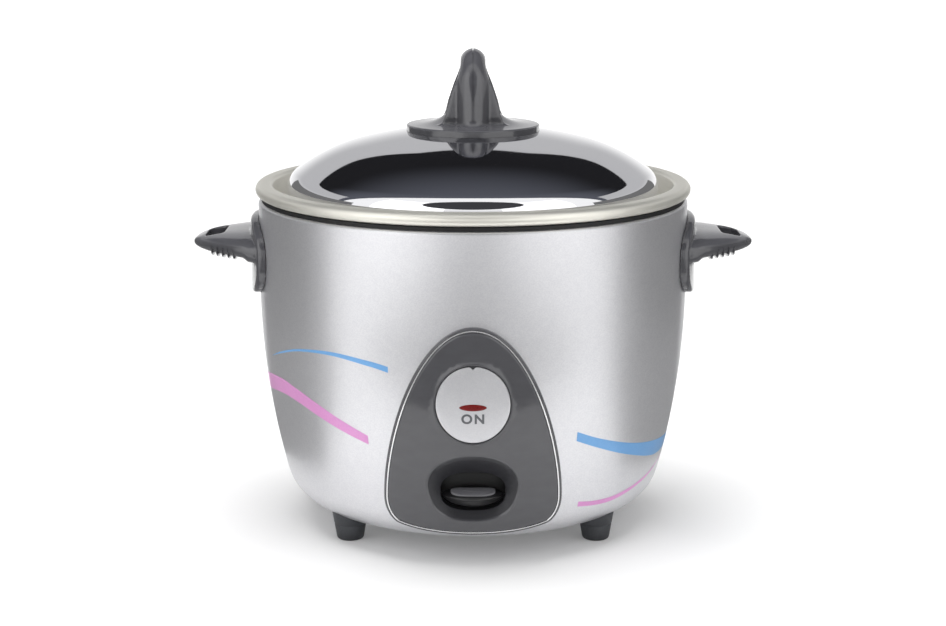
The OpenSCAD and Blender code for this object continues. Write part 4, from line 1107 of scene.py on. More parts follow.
@dataclass
class Housing:
    """The spun shell with its stripes, and the base plate under it."""

    curve: ShellCurve
    wall: float = 1.0
    lip: float = 2.0
    service_r: float = 66.0
    film: float = 0.06
    plate_r: float = 78.0
    plate_t: float = 1.2
    vents: int = 12
    vent_r: float = 36.0
    vent_size: Flat = (12.0, 2.1)
    bowl_z: float = 40.4
    inlet_z: float = 41.0
    inlet_size: Flat = (10.4, 9.4)

    def shell(self) -> Thing:
        """The shell, cut for the lever's bowl and the power inlet.

        Returns:
            The piece.
        """
        c = self.curve
        crest = (c.radius - self.lip, c.top - self.lip)
        profile = (arc(crest, self.lip, 180, 0, 12) + c.side(0, crest[1])
                   + [(self.service_r, c.bottom), (self.service_r, c.bottom + self.wall)]
                   + c.side(-self.wall, crest[1])[::-1] + arc(crest, self.lip - self.wall, 0, 180, 8))
        thing = spun("shell_wall", profile + [profile[0]], DRESSER.by_slot["shell_paint"], 240)
        bowl = Form().loft([[(x, y, self.bowl_z + z) for x, z in oval(a, b, 2.3)]
                            for y, a, b in ((-90, 18.5, 12.1), (-101, 18.5, 12.1), (-114, 35.8, 25.4))])
        inlet = Form().loft([[(x, y, self.inlet_z + z) for x, z in oval(*self.inlet_size, 5)]
                             for y in (90, 120)])
        return cut(thing, [bowl.piece("bowl_cutter"), inlet.piece("inlet_cutter")])

    def stripe(self, stripe: Stripe) -> Thing:
        """A stripe's thin film of ink on the shell.

        Args:
            stripe: The stripe.

        Returns:
            The piece.
        """
        form = Form()
        rows, lift = 5, 0.02
        columns = []
        for angle, high, low in stripe.sampled():
            columns.append(form.ring([self.curve.round(angle, low + (high - low) * i / rows, lift)
                                      for i in range(rows + 1)]))
        form.string(columns, closed=False)
        thing = form.piece(stripe.name)
        skin = thing.modifiers.new("film", "SOLIDIFY")
        skin.thickness, skin.offset = self.film * MM, 1.0
        return settled(thing, stripe.name)

    def base_plate(self) -> Thing:
        """The pressed base plate with its ring of vent slots.

        Returns:
            The piece.
        """
        z = self.curve.bottom + self.wall
        low = [(0, z), (12, z), (14, z + 0.5), (20, z + 0.5), (22, z), (52, z), (54, z + 0.6),
               (58, z + 0.6), (60, z), (self.plate_r, z)]
        profile = low + [(r, h + self.plate_t) for r, h in reversed(low)]
        plate = spun("base_cover", profile, DRESSER.by_slot["plated_steel"], 128)
        slot = Form().loft([[(self.vent_r + x, y, h) for x, y in oval(*self.vent_size, 6, 32)]
                            for h in (-6, 6)])
        cutters = repeated("vent_cutters", slot.piece("vent_slot"), [(0, 0, z)] * self.vents,
                           [(0, 0, 360 * (i + 0.5) / self.vents) for i in range(self.vents)],
                           DRESSER.by_slot["plated_steel"])
        return cut(plate, [cutters])

    def mouth(self) -> Thing:
        """The liner's dark flange that closes the gap between the shell's lip and the pan's rim.

        Returns:
            The piece.
        """
        z, r = self.curve.top, self.curve.radius - 3.4
        profile = [(r, z + 0.02), (r, z + 1.9), (r + 0.3, z + 2.2), (r + 1.3, z + 2.2), (r + 1.7, z + 1.8),
                   (r + 1.8, z + 0.02), (r, z + 0.02)]
        return spun("liner_flange", profile, DRESSER.by_slot["liner_black"], 240)

    def build(self) -> None:
        """Makes and dresses the sub-assembly."""
        DRESSER.piece(self.shell(), "shell_paint", "housing", "outer_shell")
        DRESSER.piece(self.mouth(), "liner_black", "housing")
        for stripe in STRIPES:
            DRESSER.piece(self.stripe(stripe), "shell_paint", "housing", print_name=stripe.ink)
        DRESSER.piece(self.base_plate(), "plated_steel", "housing", "base_plate")


@dataclass
class CookingPan:
    """The spun pan with its ledge, step and rolled rim."""

    wall_r: float = 99.0
    seat_z: float = 68.0
    wall: float = 1.5
    corner: float = 18.0
    ledge_z: float = 171.5
    step_r: float = 105.5
    rim_r: float = 116.5
    rim_z: float = 183.5
    curl: float = 3.25
    mark_depth: float = 0.25
    marks: tuple[int, ...] = (96, 112, 128, 144)

    def build(self) -> None:
        """Makes and dresses the pan."""
        inside = self.wall_r - self.wall
        step_out = self.step_r + self.wall
        roll = (self.rim_r - self.curl, self.rim_z - self.curl)
        mouth = step_out + 1
        turn = (self.wall_r - self.corner, self.seat_z + self.corner)
        sunk = inside + self.mark_depth
        marks = [p for z in self.marks
                 for p in ((inside, z - 0.5), (sunk, z - 0.25), (sunk, z + 0.25), (inside, z + 0.5))]
        profile = ([(0, self.seat_z)] + arc(turn, self.corner, -90, 0, 20)
                   + [(self.wall_r, self.ledge_z - self.wall), (step_out, self.ledge_z - self.wall)]
                   + curve((step_out, self.ledge_z - self.wall), (step_out, roll[1] - 3), (mouth, roll[1] - 2),
                           (mouth + 1.6, roll[1]), 10)
                   + [(roll[0] - self.curl * 0.6, roll[1] - self.curl * 0.8)]
                   + arc(roll, self.curl, -90, 90, 20)
                   + arc((mouth + 1.6, self.rim_z - 2.4), 2.4, 90, 170, 10)
                   + [(self.step_r, self.ledge_z + 0.6), (self.step_r - 0.6, self.ledge_z),
                      (inside + 0.6, self.ledge_z), (inside, self.ledge_z - 0.6)]
                   + marks[::-1]
                   + arc(turn, self.corner - self.wall, 0, -90, 20) + [(0, self.seat_z + self.wall)])
        pan = spun("cooking_pan", profile, DRESSER.by_slot["pan_aluminium"], 240)
        DRESSER.piece(pan, "pan_aluminium", "pan", "inner_pan")


@dataclass
class Lid:
    """The polished dome and its moulded knob."""

    top_z: float = 212.6
    dome: float = 258.0
    shoulder: float = 91.0
    shoulder_r: float = 62.0
    brow_r: float = 95.0
    skirt_r: float = 99.5
    wall: float = 0.8
    bead: float = 2.2
    ledge_z: float = 171.5
    hole_r: float = 2.7
    knob_r: float = 35.6
    knob_edge: float = 3.4
    knob_h: float = 41.2
    grip_w: float = 12.6
    reach: float = 25.0
    leg: float = 9.0
    ridge: float = 8.2
    ridge_power: float = 1.75
    ridge_root: float = 0.57
    web: float = 0.36
    wing: float = 0.16
    seam_w: float = 0.28
    slice_points: int = 96

    def __post_init__(self) -> None:
        """Works out the heights of the knob's disc and top."""
        self.rim = self.height(self.knob_r) + 0.1 + self.knob_edge
        self.knob_top = self.top_z + self.knob_h

    def height(self, r: float) -> float:
        """Height of the dome at radius r, inside the shoulder."""
        return self.top_z - self.dome + math.sqrt(self.dome ** 2 - r * r)

    def line(self, d: float) -> list[Flat]:
        """The dome's profile moved in by d, from the screw hole to the skirt.

        Args:
            d: How far in it is moved.

        Returns:
            The profile's points.
        """
        start = math.asin(self.shoulder_r / self.dome)
        end = math.asin(math.sin(start) + (self.brow_r - self.shoulder_r) / self.shoulder)
        edge = (self.skirt_r - self.brow_r) / (1 - math.sin(end))
        dome_mid = (0.0, self.top_z - self.dome)
        step = self.dome - self.shoulder
        shoulder_mid = (step * math.sin(start), dome_mid[1] + step * math.cos(start))
        step = self.shoulder - edge
        edge_mid = (shoulder_mid[0] + step * math.sin(end), shoulder_mid[1] + step * math.cos(end))
        first, second, third = (90 - math.degrees(a) for a in (math.asin(self.hole_r / self.dome), start, end))
        return (arc(dome_mid, self.dome - d, first, second, 24)
                + arc(shoulder_mid, self.shoulder - d, second, third, 24)[1:]
                + arc(edge_mid, edge - d, third, 0, 20)[1:])

    def cover(self) -> Thing:
        """The dome with its skirt and bottom bead.

        Returns:
            The piece.
        """
        bead_z = self.ledge_z + 1.3
        out = self.skirt_r + self.bead
        profile = (self.line(0) + [(self.skirt_r, bead_z + 1.9), (self.skirt_r + 0.4, bead_z + 1.4)]
                   + arc((out - 1.2, bead_z), 1.2, 80, -80, 8)
                   + [(self.skirt_r, self.ledge_z), (self.skirt_r - self.wall, self.ledge_z + 0.4)]
                   + self.line(self.wall)[::-1])
        return spun("lid_cover", profile + [profile[0]], DRESSER.by_slot["lid_steel"], 256)

    def section(self, outer: Flat, inner: Flat, width: float) -> list[Solid]:
        """A slice of the knob's loop: a round ridge outside, wings that thin out, a plain inner side.

        Args:
            outer, inner: The slice's outer and inner points, in Y towards the front and Z.
            width: Half its width.

        Returns:
            The slice's ring of points.
        """
        ring = []
        reach = min(self.ridge, width)
        for i in range(self.slice_points):
            turn = 2 * math.pi * i / self.slice_points
            u, rise = width * math.cos(turn), math.sin(turn)
            crest = max(0.0, 1 - abs(u / reach) ** self.ridge_power) ** self.ridge_root
            share = self.web + ((1 - self.web) * max(self.wing * rise, crest) if rise > 0 else self.web * rise)
            y, z = (near + (far - near) * share for near, far in zip(inner, outer))
            ring.append((u, -y, z))
        return ring

    def knob_disc(self) -> Thing:
        """The knob's disc, a little oversize, with a crown that rises into the loop's feet.

        Returns:
            The piece.
        """
        rim, wide = self.rim, self.knob_r + 1.8
        under = [(0, self.height(0) - 1.2), (18, self.height(18) - 1.2), (wide, self.height(wide) - 1.6)]
        crown = curve((wide, rim), (29, rim + 0.4), (19.5, rim + 0.8), (16.2, rim + 4.4), 16)
        crown += curve((16.2, rim + 4.4), (14.8, rim + 6.2), (8, rim + 6.6), (0, rim + 6.6), 8)
        return spun("knob_disc", under + [(wide, rim)] + crown, DRESSER.by_slot["grey_plastic"], 128)

    def knob_widths(self) -> list[Flat]:
        """Half the loop's width over the height, from its flared feet to its neck.

        Returns:
            The heights, lowest first, each with its half width.
        """
        rim, top, grip = self.rim, self.knob_top, self.grip_w / 2
        neck, chest, hip = (grip + 0.5, top - 7), (grip + 3.9, top - 18.7), (grip + 8.1, top - 32.3)
        flare = (hip[0] + 2.2, rim + 1.9)
        line = ([neck] + curve(neck, (neck[0] + 0.1, top - 12), (chest[0] - 1.4, chest[1] + 4), chest, 10)
                + curve(chest, (chest[0] + 1.8, top - 24.4), (hip[0] - 1.2, top - 27.8), hip, 10)
                + curve(hip, (hip[0] + 0.4, rim + 5), (hip[0] + 0.8, rim + 3.2), flare, 8)
                + curve(flare, (hip[0] + 4, rim + 0.9), (hip[0] + 6, rim + 0.3), (hip[0] + 8, rim - 0.5), 8)
                + [(hip[0] + 10, rim - 3)])
        return [(height, width) for width, height in reversed(line)]

    def knob_lines(self) -> tuple[list[Flat], list[Flat]]:
        """The loop's outer and inner line at the front, in Y and Z, from the foot to the middle of its top.

        Returns:
            The outer and the inner line.
        """
        rim, top, hole_top = self.rim, self.knob_top, self.knob_top - self.leg
        outer = (self.reach + 0.6, rim + 3.4)
        inner = (self.reach - self.leg - 2, rim + 7)
        outside = ([(self.reach + 8, rim - 2.4), (self.reach + 4.6, rim + 0.2),
                    (self.reach + 2, rim + 1.3), outer]
                   + curve(outer, (outer[0] - 3, top - 22), (outer[0] - 4, top + 0.02), (0, top + 0.02), 22))
        inside = ([(inner[0] - 8, rim - 2.4), (inner[0] - 5, rim + 1), (inner[0] - 2.5, rim + 2.6), inner]
                  + curve(inner, (inner[0] - 1, inner[1] + 15), (inner[0] - 2, hole_top), (0, hole_top), 22))
        return outside, inside

    def seam(self, outside: Sequence[Flat]) -> Thing:
        """The cutter for the fine joint that runs over the loop.

        Args:
            outside: The loop's outer line.

        Returns:
            The cutter.
        """
        half, deep, high, rim = self.seam_w / 2, 0.97, 1.1, self.rim
        path = outside[3:] + [(-y, z) for y, z in outside[-2:2:-1]]
        corners = ((-half, deep), (half, deep), (half, high), (-half, high))
        rings = [[(x, -y * k, rim + (z - rim) * k) for x, k in corners] for y, z in path]
        return Form().loft(rings).piece("seam_cutter")

    def knob(self) -> Thing:
        """The knob: a disc on the dome and a loop that grows out of it.

        Returns:
            The piece.
        """
        outside, inside = self.knob_lines()
        widths = self.knob_widths()
        rings = [self.section(a, b, read_off(widths, (a[1] + b[1]) / 2)) for a, b in zip(outside, inside)]
        rings += [[(x, -y, z) for x, y, z in ring] for ring in reversed(rings[:-1])]
        loop = Form().loft(rings).piece("knob_loop")
        skin = cut(moulded([self.knob_disc(), loop], "lid_knob", 0.5, 14), [self.seam(outside)])
        edge = ([(r, self.height(r) + 0.05) for r in (0, 6, 12, 18, 24, 30, 33, self.knob_r)]
                + arc((self.knob_r - 0.9, self.rim - 0.82), 0.9, 0, 88, 8)
                + [(self.knob_r - 1.4, self.rim + 2), (31, self.knob_top + 3), (0, self.knob_top + 3)])
        return cut(skin, [spun("knob_edge", edge, DRESSER.by_slot["grey_plastic"], 256)], "INTERSECT")

    def build(self) -> None:
        """Makes and dresses the lid."""
        DRESSER.piece(self.cover(), "lid_steel", "lid", "lid_dome")
        DRESSER.piece(self.knob(), "grey_plastic", "lid", "lid_handle")


@dataclass
class SideHandle:
    """A moulded carrying handle: a flange on the shell and a grip with ribs below and a finger slot."""

    body: ShellCurve
    side: int
    node: str
    tip: float = 151.0
    z: float = 150.0
    thick: float = 14.0
    half: float = 38.5
    flange_half: float = 40.0
    flange_rise: float = 20.5
    flange_drop: float = 4.9
    flange_t: float = 4.5
    slot: tuple[float, float] = (10.2, 25.0)
    ribs: int = 5
    rib_pitch: float = 3.13
    rib_start: float = 8.926
    rib_depth: float = 1.9
    slot_from_tip: float = 12.6
    square: float = 2.9

    def flange(self) -> Thing:
        """The rounded plate that lies on the shell.

        Returns:
            The piece.
        """
        radius, soft, middle = self.body.radius, 1.6, self.z - self.flange_drop
        outline = [(y, middle + z) for y, z in oval(self.flange_half, self.flange_rise, 2.8)]
        rings = [[self.on_shell(y * share, middle + (z - middle) * share, radius + 0.1) for y, z in outline]
                 for share in (0.25, 0.5, 0.75)]
        for shrink, out in ((0, 0.1), (0, self.flange_t - soft), (soft * 0.3, self.flange_t - soft * 0.3),
                            (soft, self.flange_t)):
            rings.append([self.on_shell(y, z, radius + out) for y, z in inset(outline, shrink)])
        for share in (0.75, 0.5, 0.25):
            rings.append([self.on_shell(y * share, middle + (z - middle) * share, radius + self.flange_t)
                          for y, z in inset(outline, soft)])
        return Form().loft(rings).piece("flange")

    def on_shell(self, y: float, z: float, r: float) -> Solid:
        """The point of the upright wall of radius r at y and z, on this handle's side."""
        return (self.side * math.sqrt(r * r - y * y), y, z)

    def lines(self) -> tuple[list[Flat], list[Flat], list[Flat]]:
        """The grip's plan as half width over X, and its top and under lines as height over X.

        Returns:
            The plan, the top line and the under line.
        """
        root, face = self.body.radius - 1, self.body.radius + self.flange_t
        high, low = self.z + self.thick / 2 + 0.7, self.z - self.thick / 2 + 1.2
        plan = [(root, self.half)] + curve(
            (root, self.half), (root + 13, self.half - 5), (self.tip, 17), (self.tip, 0), 36)
        top = [(root, high)] + curve((face, high), (face + 17, high - 0.6), (self.tip, high - 2.4),
                                     (self.tip, self.z + 0.4), 36)
        under = ([(root, low - 2.8), (face, low - 2.2)]
                 + curve((face, low - 2.2), (face + 0.3, low - 0.9), (face + 1.0, low - 0.1),
                         (face + 2.2, low), 8)
                 + curve((face + 2.2, low), (face + 14, low + 1.2), (self.tip, low + 2.6),
                         (self.tip, self.z + 0.4), 34))
        return plan, top, under

    def slice(self, x: float, half: float, grow: float = 0.0, roof: float = 20.0) -> list[Solid]:
        """A slice of the grip.

        Args:
            x: Where it lies.
            half: Half its width.
            grow: How far it reaches beyond the grip's skin.
            roof: How far above its middle it may reach.

        Returns:
            The slice's ring of points.
        """
        _, top, under = self.lines()
        up, down = read_off(top, x), read_off(under, x)
        return [(self.side * x, u, (up + down) / 2 + min(v, roof))
                for u, v in oval(half + grow * 0.5, max(up - down, 0.6) / 2 + grow, self.square, 96)]

    def grip(self) -> Thing:
        """The grip, lofted from its root to its rounded tip."""
        return Form().loft([self.slice(x, half) for x, half in self.lines()[0][:-1]]).piece("grip")

    def ribs_under(self) -> list[Thing]:
        """The saw-like gripping ribs, wedges that wrap round the grip's lower side.

        Returns:
            The wedges.
        """
        plan = self.lines()[0]
        wedges = []
        for i in range(self.ribs):
            root = self.body.radius + self.rib_start + i * self.rib_pitch
            crest = root + self.rib_pitch * 0.7
            half = next(h for at, h in plan if at >= root) - 1.5
            rings = [self.slice(root, half - 0.6, -0.8, 0.0), self.slice(crest, half, self.rib_depth, 0.0),
                     self.slice(crest + 0.35, half, self.rib_depth, 0.0)]
            wedges.append(Form().loft(rings).piece("rib"))
        return wedges

    def build(self) -> None:
        """Makes and dresses the handle."""
        middle = self.side * (self.tip - self.slot_from_tip)
        hole = Form().loft([[(middle + x, y, z) for x, y in oval(self.slot[0] / 2, self.slot[1] / 2, 5, 48)]
                            for z in (self.z - 20, self.z + 20)])
        grip = cut(self.grip(), [hole.piece("slot_cutter")])
        thing = moulded([self.flange(), grip], self.node + "_moulding", 0.55, 5)
        wall, low, high = self.body.radius + 0.05, self.z - 50, self.z + 50
        body = spun("body_cutter", [(0, low), (wall, low), (wall, high), (0, high)],
                    DRESSER.by_slot["grey_plastic"], 256)
        thing = cut(cut(thing, [body]), self.ribs_under(), "UNION")
        DRESSER.piece(thing, "grey_plastic", "housing", self.node)


@dataclass
class FrontPanel:
    """The moulded front panel with its bowl for the lever, its badge and the badge's lens."""

    body: ShellCurve
    t: float = 3.0
    top_z: float = 128.0
    low_z: float = 16.6
    half: float = 44.9
    wide_z: float = 36.7
    badge_z: float = 88.9
    badge_half: Flat = (18.3, 19.7)
    badge_t: float = 1.2
    lens_half: float = 6.75
    lens_rise: float = 1.75
    lens_drop: float = 1.15
    well_half: float = 16.5
    well_rise: float = 10.1
    well_z: float = 40.4
    well_y: float = 101.0
    sleeve: float = 6.0
    well_wall: float = 1.6
    spread: tuple[float, float, float] = (1.33, 1.02, 1.55)
    word_size: float = 6.7
    word_drop: float = 7.3
    word_weight: float = 0.24
    cell: float = 2.6
    turns: int = 96

    def outline(self) -> list[Flat]:
        """The panel's outline in X and Z.

        Returns:
            The outline's points.
        """
        top, wide, low = (0.0, self.top_z), (self.half, self.wide_z), (0.0, self.low_z)
        corner = (self.half - 6.6, self.low_z + 5.4)
        side = ([top] + curve(top, (self.half * 0.63, self.top_z), (wide[0], wide[1] + 33), wide, 48)
                + curve(wide, (wide[0], wide[1] - 7), (corner[0] + 3.6, corner[1] + 2.4), corner, 14)
                + curve(corner, (corner[0] - 10, corner[1] - 4), (15, self.low_z), low, 24))
        return side + [(-x, z) for x, z in reversed(side[1:-1])]

    def round_turns(self) -> list[float]:
        """The directions round the bowl and the badge, in radians."""
        return [2 * math.pi * i / self.turns for i in range(self.turns)]

    def mouth(self, turn: float, wall: float, d: float, back: float = 0.0) -> Solid:
        """A point of the bowl's side.

        Args:
            turn: The direction round the bowl, in radians.
            wall: How far outside the bowl's face the point lies.
            d: The distance off the shell's face at which the bowl's side is met.
            back: How far in from there the point lies.

        Returns:
            The point.
        """
        c, s = math.cos(turn), math.sin(turn)
        deep = 10.0
        for _ in range(24):
            x, z = self.rim(c, s, deep, wall)
            deep = 0.5 * deep + 0.5 * (-self.body.front(x, z, d)[1] - self.well_y)
        deep -= back
        x, z = self.rim(c, s, deep, wall)
        return (x, -(self.well_y + deep), z)

    def rim(self, c: float, s: float, deep: float, wall: float) -> Flat:
        """X and Z of the bowl's side at a distance in front of its inner end.

        Args:
            c, s: The cosine and sine of the direction round the bowl.
            deep: The distance in front of the inner end.
            wall: How far outside the bowl's face the point lies.

        Returns:
            X and Z.
        """
        n = 2.6 - 0.4 * min(1.0, max(0.0, deep / 14))
        a = self.well_half + wall + self.spread[0] * max(0.0, deep)
        b = self.well_rise + wall + self.spread[1 if s > 0 else 2] * max(0.0, deep)
        return (math.copysign(a * abs(c) ** (2 / n), c), self.well_z + math.copysign(b * abs(s) ** (2 / n), s))

    def sheet(self, form: Form, outer: list, holes: list[list], d: float) -> None:
        """Fills the space between rings with a fine curved mesh.

        Args:
            form: The mesh that holds the rings.
            outer: The outer ring's vertices.
            holes: The holes' rings.
            d: The distance of the sheet off the shell's face.
        """
        loops = [outer] + holes
        flat = [[Vector((v.co.x, v.co.z)) / MM for v in loop] for loop in loops]

        def between(p: Vector) -> bool:
            """Whether a point lies on the sheet and in none of its holes."""
            return within(p, flat[0]) and not any(within(p, hole) for hole in flat[1:])

        points = [p for loop in flat for p in loop]
        edges, start = [], 0
        for loop in flat:
            edges += [(start + i, start + (i + 1) % len(loop)) for i in range(len(loop))]
            start += len(loop)
        verts = [v for loop in loops for v in loop]
        near = self.cell * 0.55
        rows = int((self.top_z - self.low_z) / (self.cell * 0.87)) + 1
        columns = int(2 * self.half / self.cell) + 1
        for j in range(rows):
            for i in range(columns + 1):
                p = Vector((-self.half + (i + 0.5 * (j % 2)) * self.cell, self.low_z + j * self.cell * 0.87))
                if between(p) and min((p - q).length for loop in flat for q in loop) > near:
                    points.append(p)
                    verts.append(form.ring([self.body.front(p.x, p.y, d)])[0])
        made = delaunay_2d_cdt(points, edges, [], 1, 1e-5)
        spots, faces, sources = made[0], made[2], made[3]
        for face in faces:
            middle = sum((spots[i] for i in face), Vector((0, 0))) / 3
            if between(middle):
                form.bm.faces.new([verts[sources[i][0]] for i in face])

    def panel(self) -> Thing:
        """The panel: edge, bead, groove, face, pocket, bowl and sleeve in one closed mesh.

        Returns:
            The piece.
        """
        form = Form()
        edge, t = self.outline(), self.t
        steps = ((0, 0.05), (0, t - 1.1), (0.25, t - 0.4), (0.65, t - 0.05), (1.1, t - 0.05), (1.25, t - 0.4),
                 (1.4, t - 0.7), (2.0, t - 0.7), (2.25, t - 0.4), (2.6, t - 0.08), (3.1, t))
        rings = [form.ring([self.body.front(x, z, d) for x, z in inset(edge, shrink)]) for shrink, d in steps]
        form.string(rings)
        turns = self.round_turns()
        bowl = [form.ring(points) for points in self.bowl(turns)]
        for deep in (-self.sleeve, 0):
            bowl.append(form.ring([(x, -(self.well_y + deep), z) for x, z in (
                self.rim(math.cos(turn), math.sin(turn), deep, self.well_wall) for turn in turns)]))
        bowl.append(form.ring([self.mouth(turn, self.well_wall, 0.05) for turn in turns]))
        form.string(bowl)
        collar = self.pocket(form, turns)
        self.sheet(form, rings[-1], [bowl[0], collar], t)
        self.sheet(form, rings[0], [bowl[-1]], 0.05)
        return form.piece("front_moulding", 40)

    def pocket(self, form: Form, turns: Sequence[float]) -> list:
        """The badge's pocket, with a low collar round it.

        Args:
            form: The panel's mesh.
            turns: The directions round the badge, in radians.

        Returns:
            The vertices of the collar's outer ring.
        """
        t, seat = self.t, self.t - self.badge_t
        rings = []
        for grow, d in ((1.7, t), (1.45, t + 0.2), (1.15, t + 0.28), (0.85, t + 0.15), (0.5, t - 0.3),
                        (0.5, seat), (-6.0, seat), (-12.0, seat)):
            a, b = (half + grow for half in self.badge_half)
            rings.append(form.ring([
                self.body.front(a * math.cos(turn), self.badge_z + b * math.sin(turn), d) for turn in turns]))
        form.string(rings)
        self.close(form, rings[-1], seat)
        return rings[0]

    def bowl(self, turns: Sequence[float], wall: float = 0.0) -> list[list[Solid]]:
        """The bowl's rings, from its crisp lip to the sleeve's inner end.

        Args:
            turns: The directions round the bowl, in radians.
            wall: How far outside the bowl's face the rings lie.

        Returns:
            The rings.
        """
        lip = []
        bends = (0, 0.2, 0.4, 0.6, 0.8, 1)
        for turn in turns:
            corner = Vector(self.mouth(turn, wall, self.t))
            side = Vector(self.mouth(turn, wall, self.t, 0.7))
            x, z = self.rim(math.cos(turn), math.sin(turn), -corner.y - self.well_y, wall + 0.6)
            face = Vector(self.body.front(x, z, self.t))
            lip.append([(1 - t) ** 2 * face + 2 * t * (1 - t) * corner + t * t * side for t in bends])
        rings = [[column[i] for column in lip] for i in range(len(bends))]
        for share in (0.25, 0.5, 0.75, 0.93):
            rings.append([self.mouth(turn, wall, self.t, 0.7 + (-column[-1].y - self.well_y) * share)
                          for turn, column in zip(turns, lip)])
        for deep in (0, -0.8, -self.sleeve):
            rings.append([(x, -(self.well_y + deep), z) for x, z in (
                self.rim(math.cos(turn), math.sin(turn), deep, wall) for turn in turns)])
        return rings

    def painted_shade_skin(self) -> Thing:
        """A thin skin in darker grey over the bowl, painted shade, from inside the lip to the sleeve's end.

        Returns:
            The piece.
        """
        turns = self.round_turns()
        rings = self.bowl(turns, -0.12)[5:] + self.bowl(turns, 0.3)[:4:-1]
        return Form().loft(rings + rings[:1], caps=False).piece("bowl_lining", 40)

    def close(self, form: Form, ring: list, d: float) -> None:
        """Closes a ring round the badge's middle."""
        form.fan(ring, form.ring([self.body.front(0, self.badge_z, d)])[0])

    def badge(self) -> Thing:
        """The badge: a thin curved disc with a bevelled edge and a notch at the top.

        Returns:
            The piece.
        """
        form = Form()
        turns = [math.radians(2 * i) for i in range(180)]
        notch = [1 - 0.075 * max(0.0, 1 - abs(math.degrees(t) - 90) / 5) for t in turns]
        plain = [1.0] * len(turns)
        rings = []
        for r, d in ((0.2, -1.0), (0.6, -1.0), (0.995, -1.0), (1.0, -0.9), (1.0, -0.1), (0.985, 0.16),
                     (0.96, 0.2), (0.75, 0.2), (0.5, 0.2), (0.2, 0.2)):
            a, b = (half * r for half in self.badge_half)
            rings.append(form.ring([self.body.front(
                a * k * math.cos(t), self.badge_z + b * k * math.sin(t), self.t + d)
                for t, k in zip(turns, notch if r > 0.9 else plain)]))
        form.string(rings)
        self.close(form, rings[0], self.t - 1.0)
        self.close(form, rings[-1], self.t + 0.2)
        return form.piece("badge_disc")

    def lens(self) -> Thing:
        """The low domed lens.

        Returns:
            The piece.
        """
        rings = []
        for grow, d in ((0.0, -1.2), (0.0, 0.25), (-0.1, 0.36), (-0.35, 0.44), (-0.8, 0.48)):
            rings.append([self.body.front(x, self.badge_z - self.lens_drop + z, self.t + d)
                          for x, z in oval(self.lens_half + grow, self.lens_rise + grow, 1.9)])
        return Form().loft(rings).piece("badge_lens")

    def trim(self) -> Thing:
        """The bright line between the panel's outer bead and its face.

        Returns:
            The piece.
        """
        edge = self.outline()
        steps = ((1.22, self.t - 0.8), (1.22, self.t - 0.2), (1.36, self.t - 0.06), (1.8, self.t - 0.06),
                 (1.96, self.t - 0.2), (1.96, self.t - 0.8), (1.22, self.t - 0.8))
        rings = [[self.body.front(x, z, d) for x, z in inset(edge, shrink)] for shrink, d in steps]
        return Form().loft(rings, caps=False).piece("panel_trim")

    def word(self) -> Thing:
        """The plain word beside the lamp, printed on the badge.

        Returns:
            The piece.
        """
        letters = bpy.data.curves.new("lamp_word", "FONT")
        letters.body, letters.size, letters.offset = "ON", self.word_size * MM, self.word_weight * MM
        letters.extrude = 0.03 * MM
        letters.align_x, letters.align_y, letters.space_character = "CENTER", "CENTER", 1.25
        thing = settled(placed("lamp_word", letters), "lamp_word")
        for vertex in thing.data.vertices:
            x, y, z = vertex.co / MM
            vertex.co = Vector(self.body.front(x, self.badge_z - self.word_drop + y, self.t + 0.23 + z)) * MM
        return thing

    def build(self) -> None:
        """Makes and dresses the panel and its badge."""
        DRESSER.piece(self.panel(), "grey_plastic", "housing", "front_panel")
        DRESSER.piece(self.badge(), "badge_silver", "housing", "indicator_badge")
        DRESSER.piece(self.lens(), "lens_red", "housing", "indicator_lens")
        # The bowl's dark skin is painted shade for the recess, not a separate dark part.
        DRESSER.piece(self.painted_shade_skin(), "grey_plastic", "housing", print_name="bowl")
        DRESSER.piece(self.trim(), "badge_silver", "housing", print_name="trim")
        DRESSER.piece(self.word(), "badge_silver", "housing", print_name="grey")


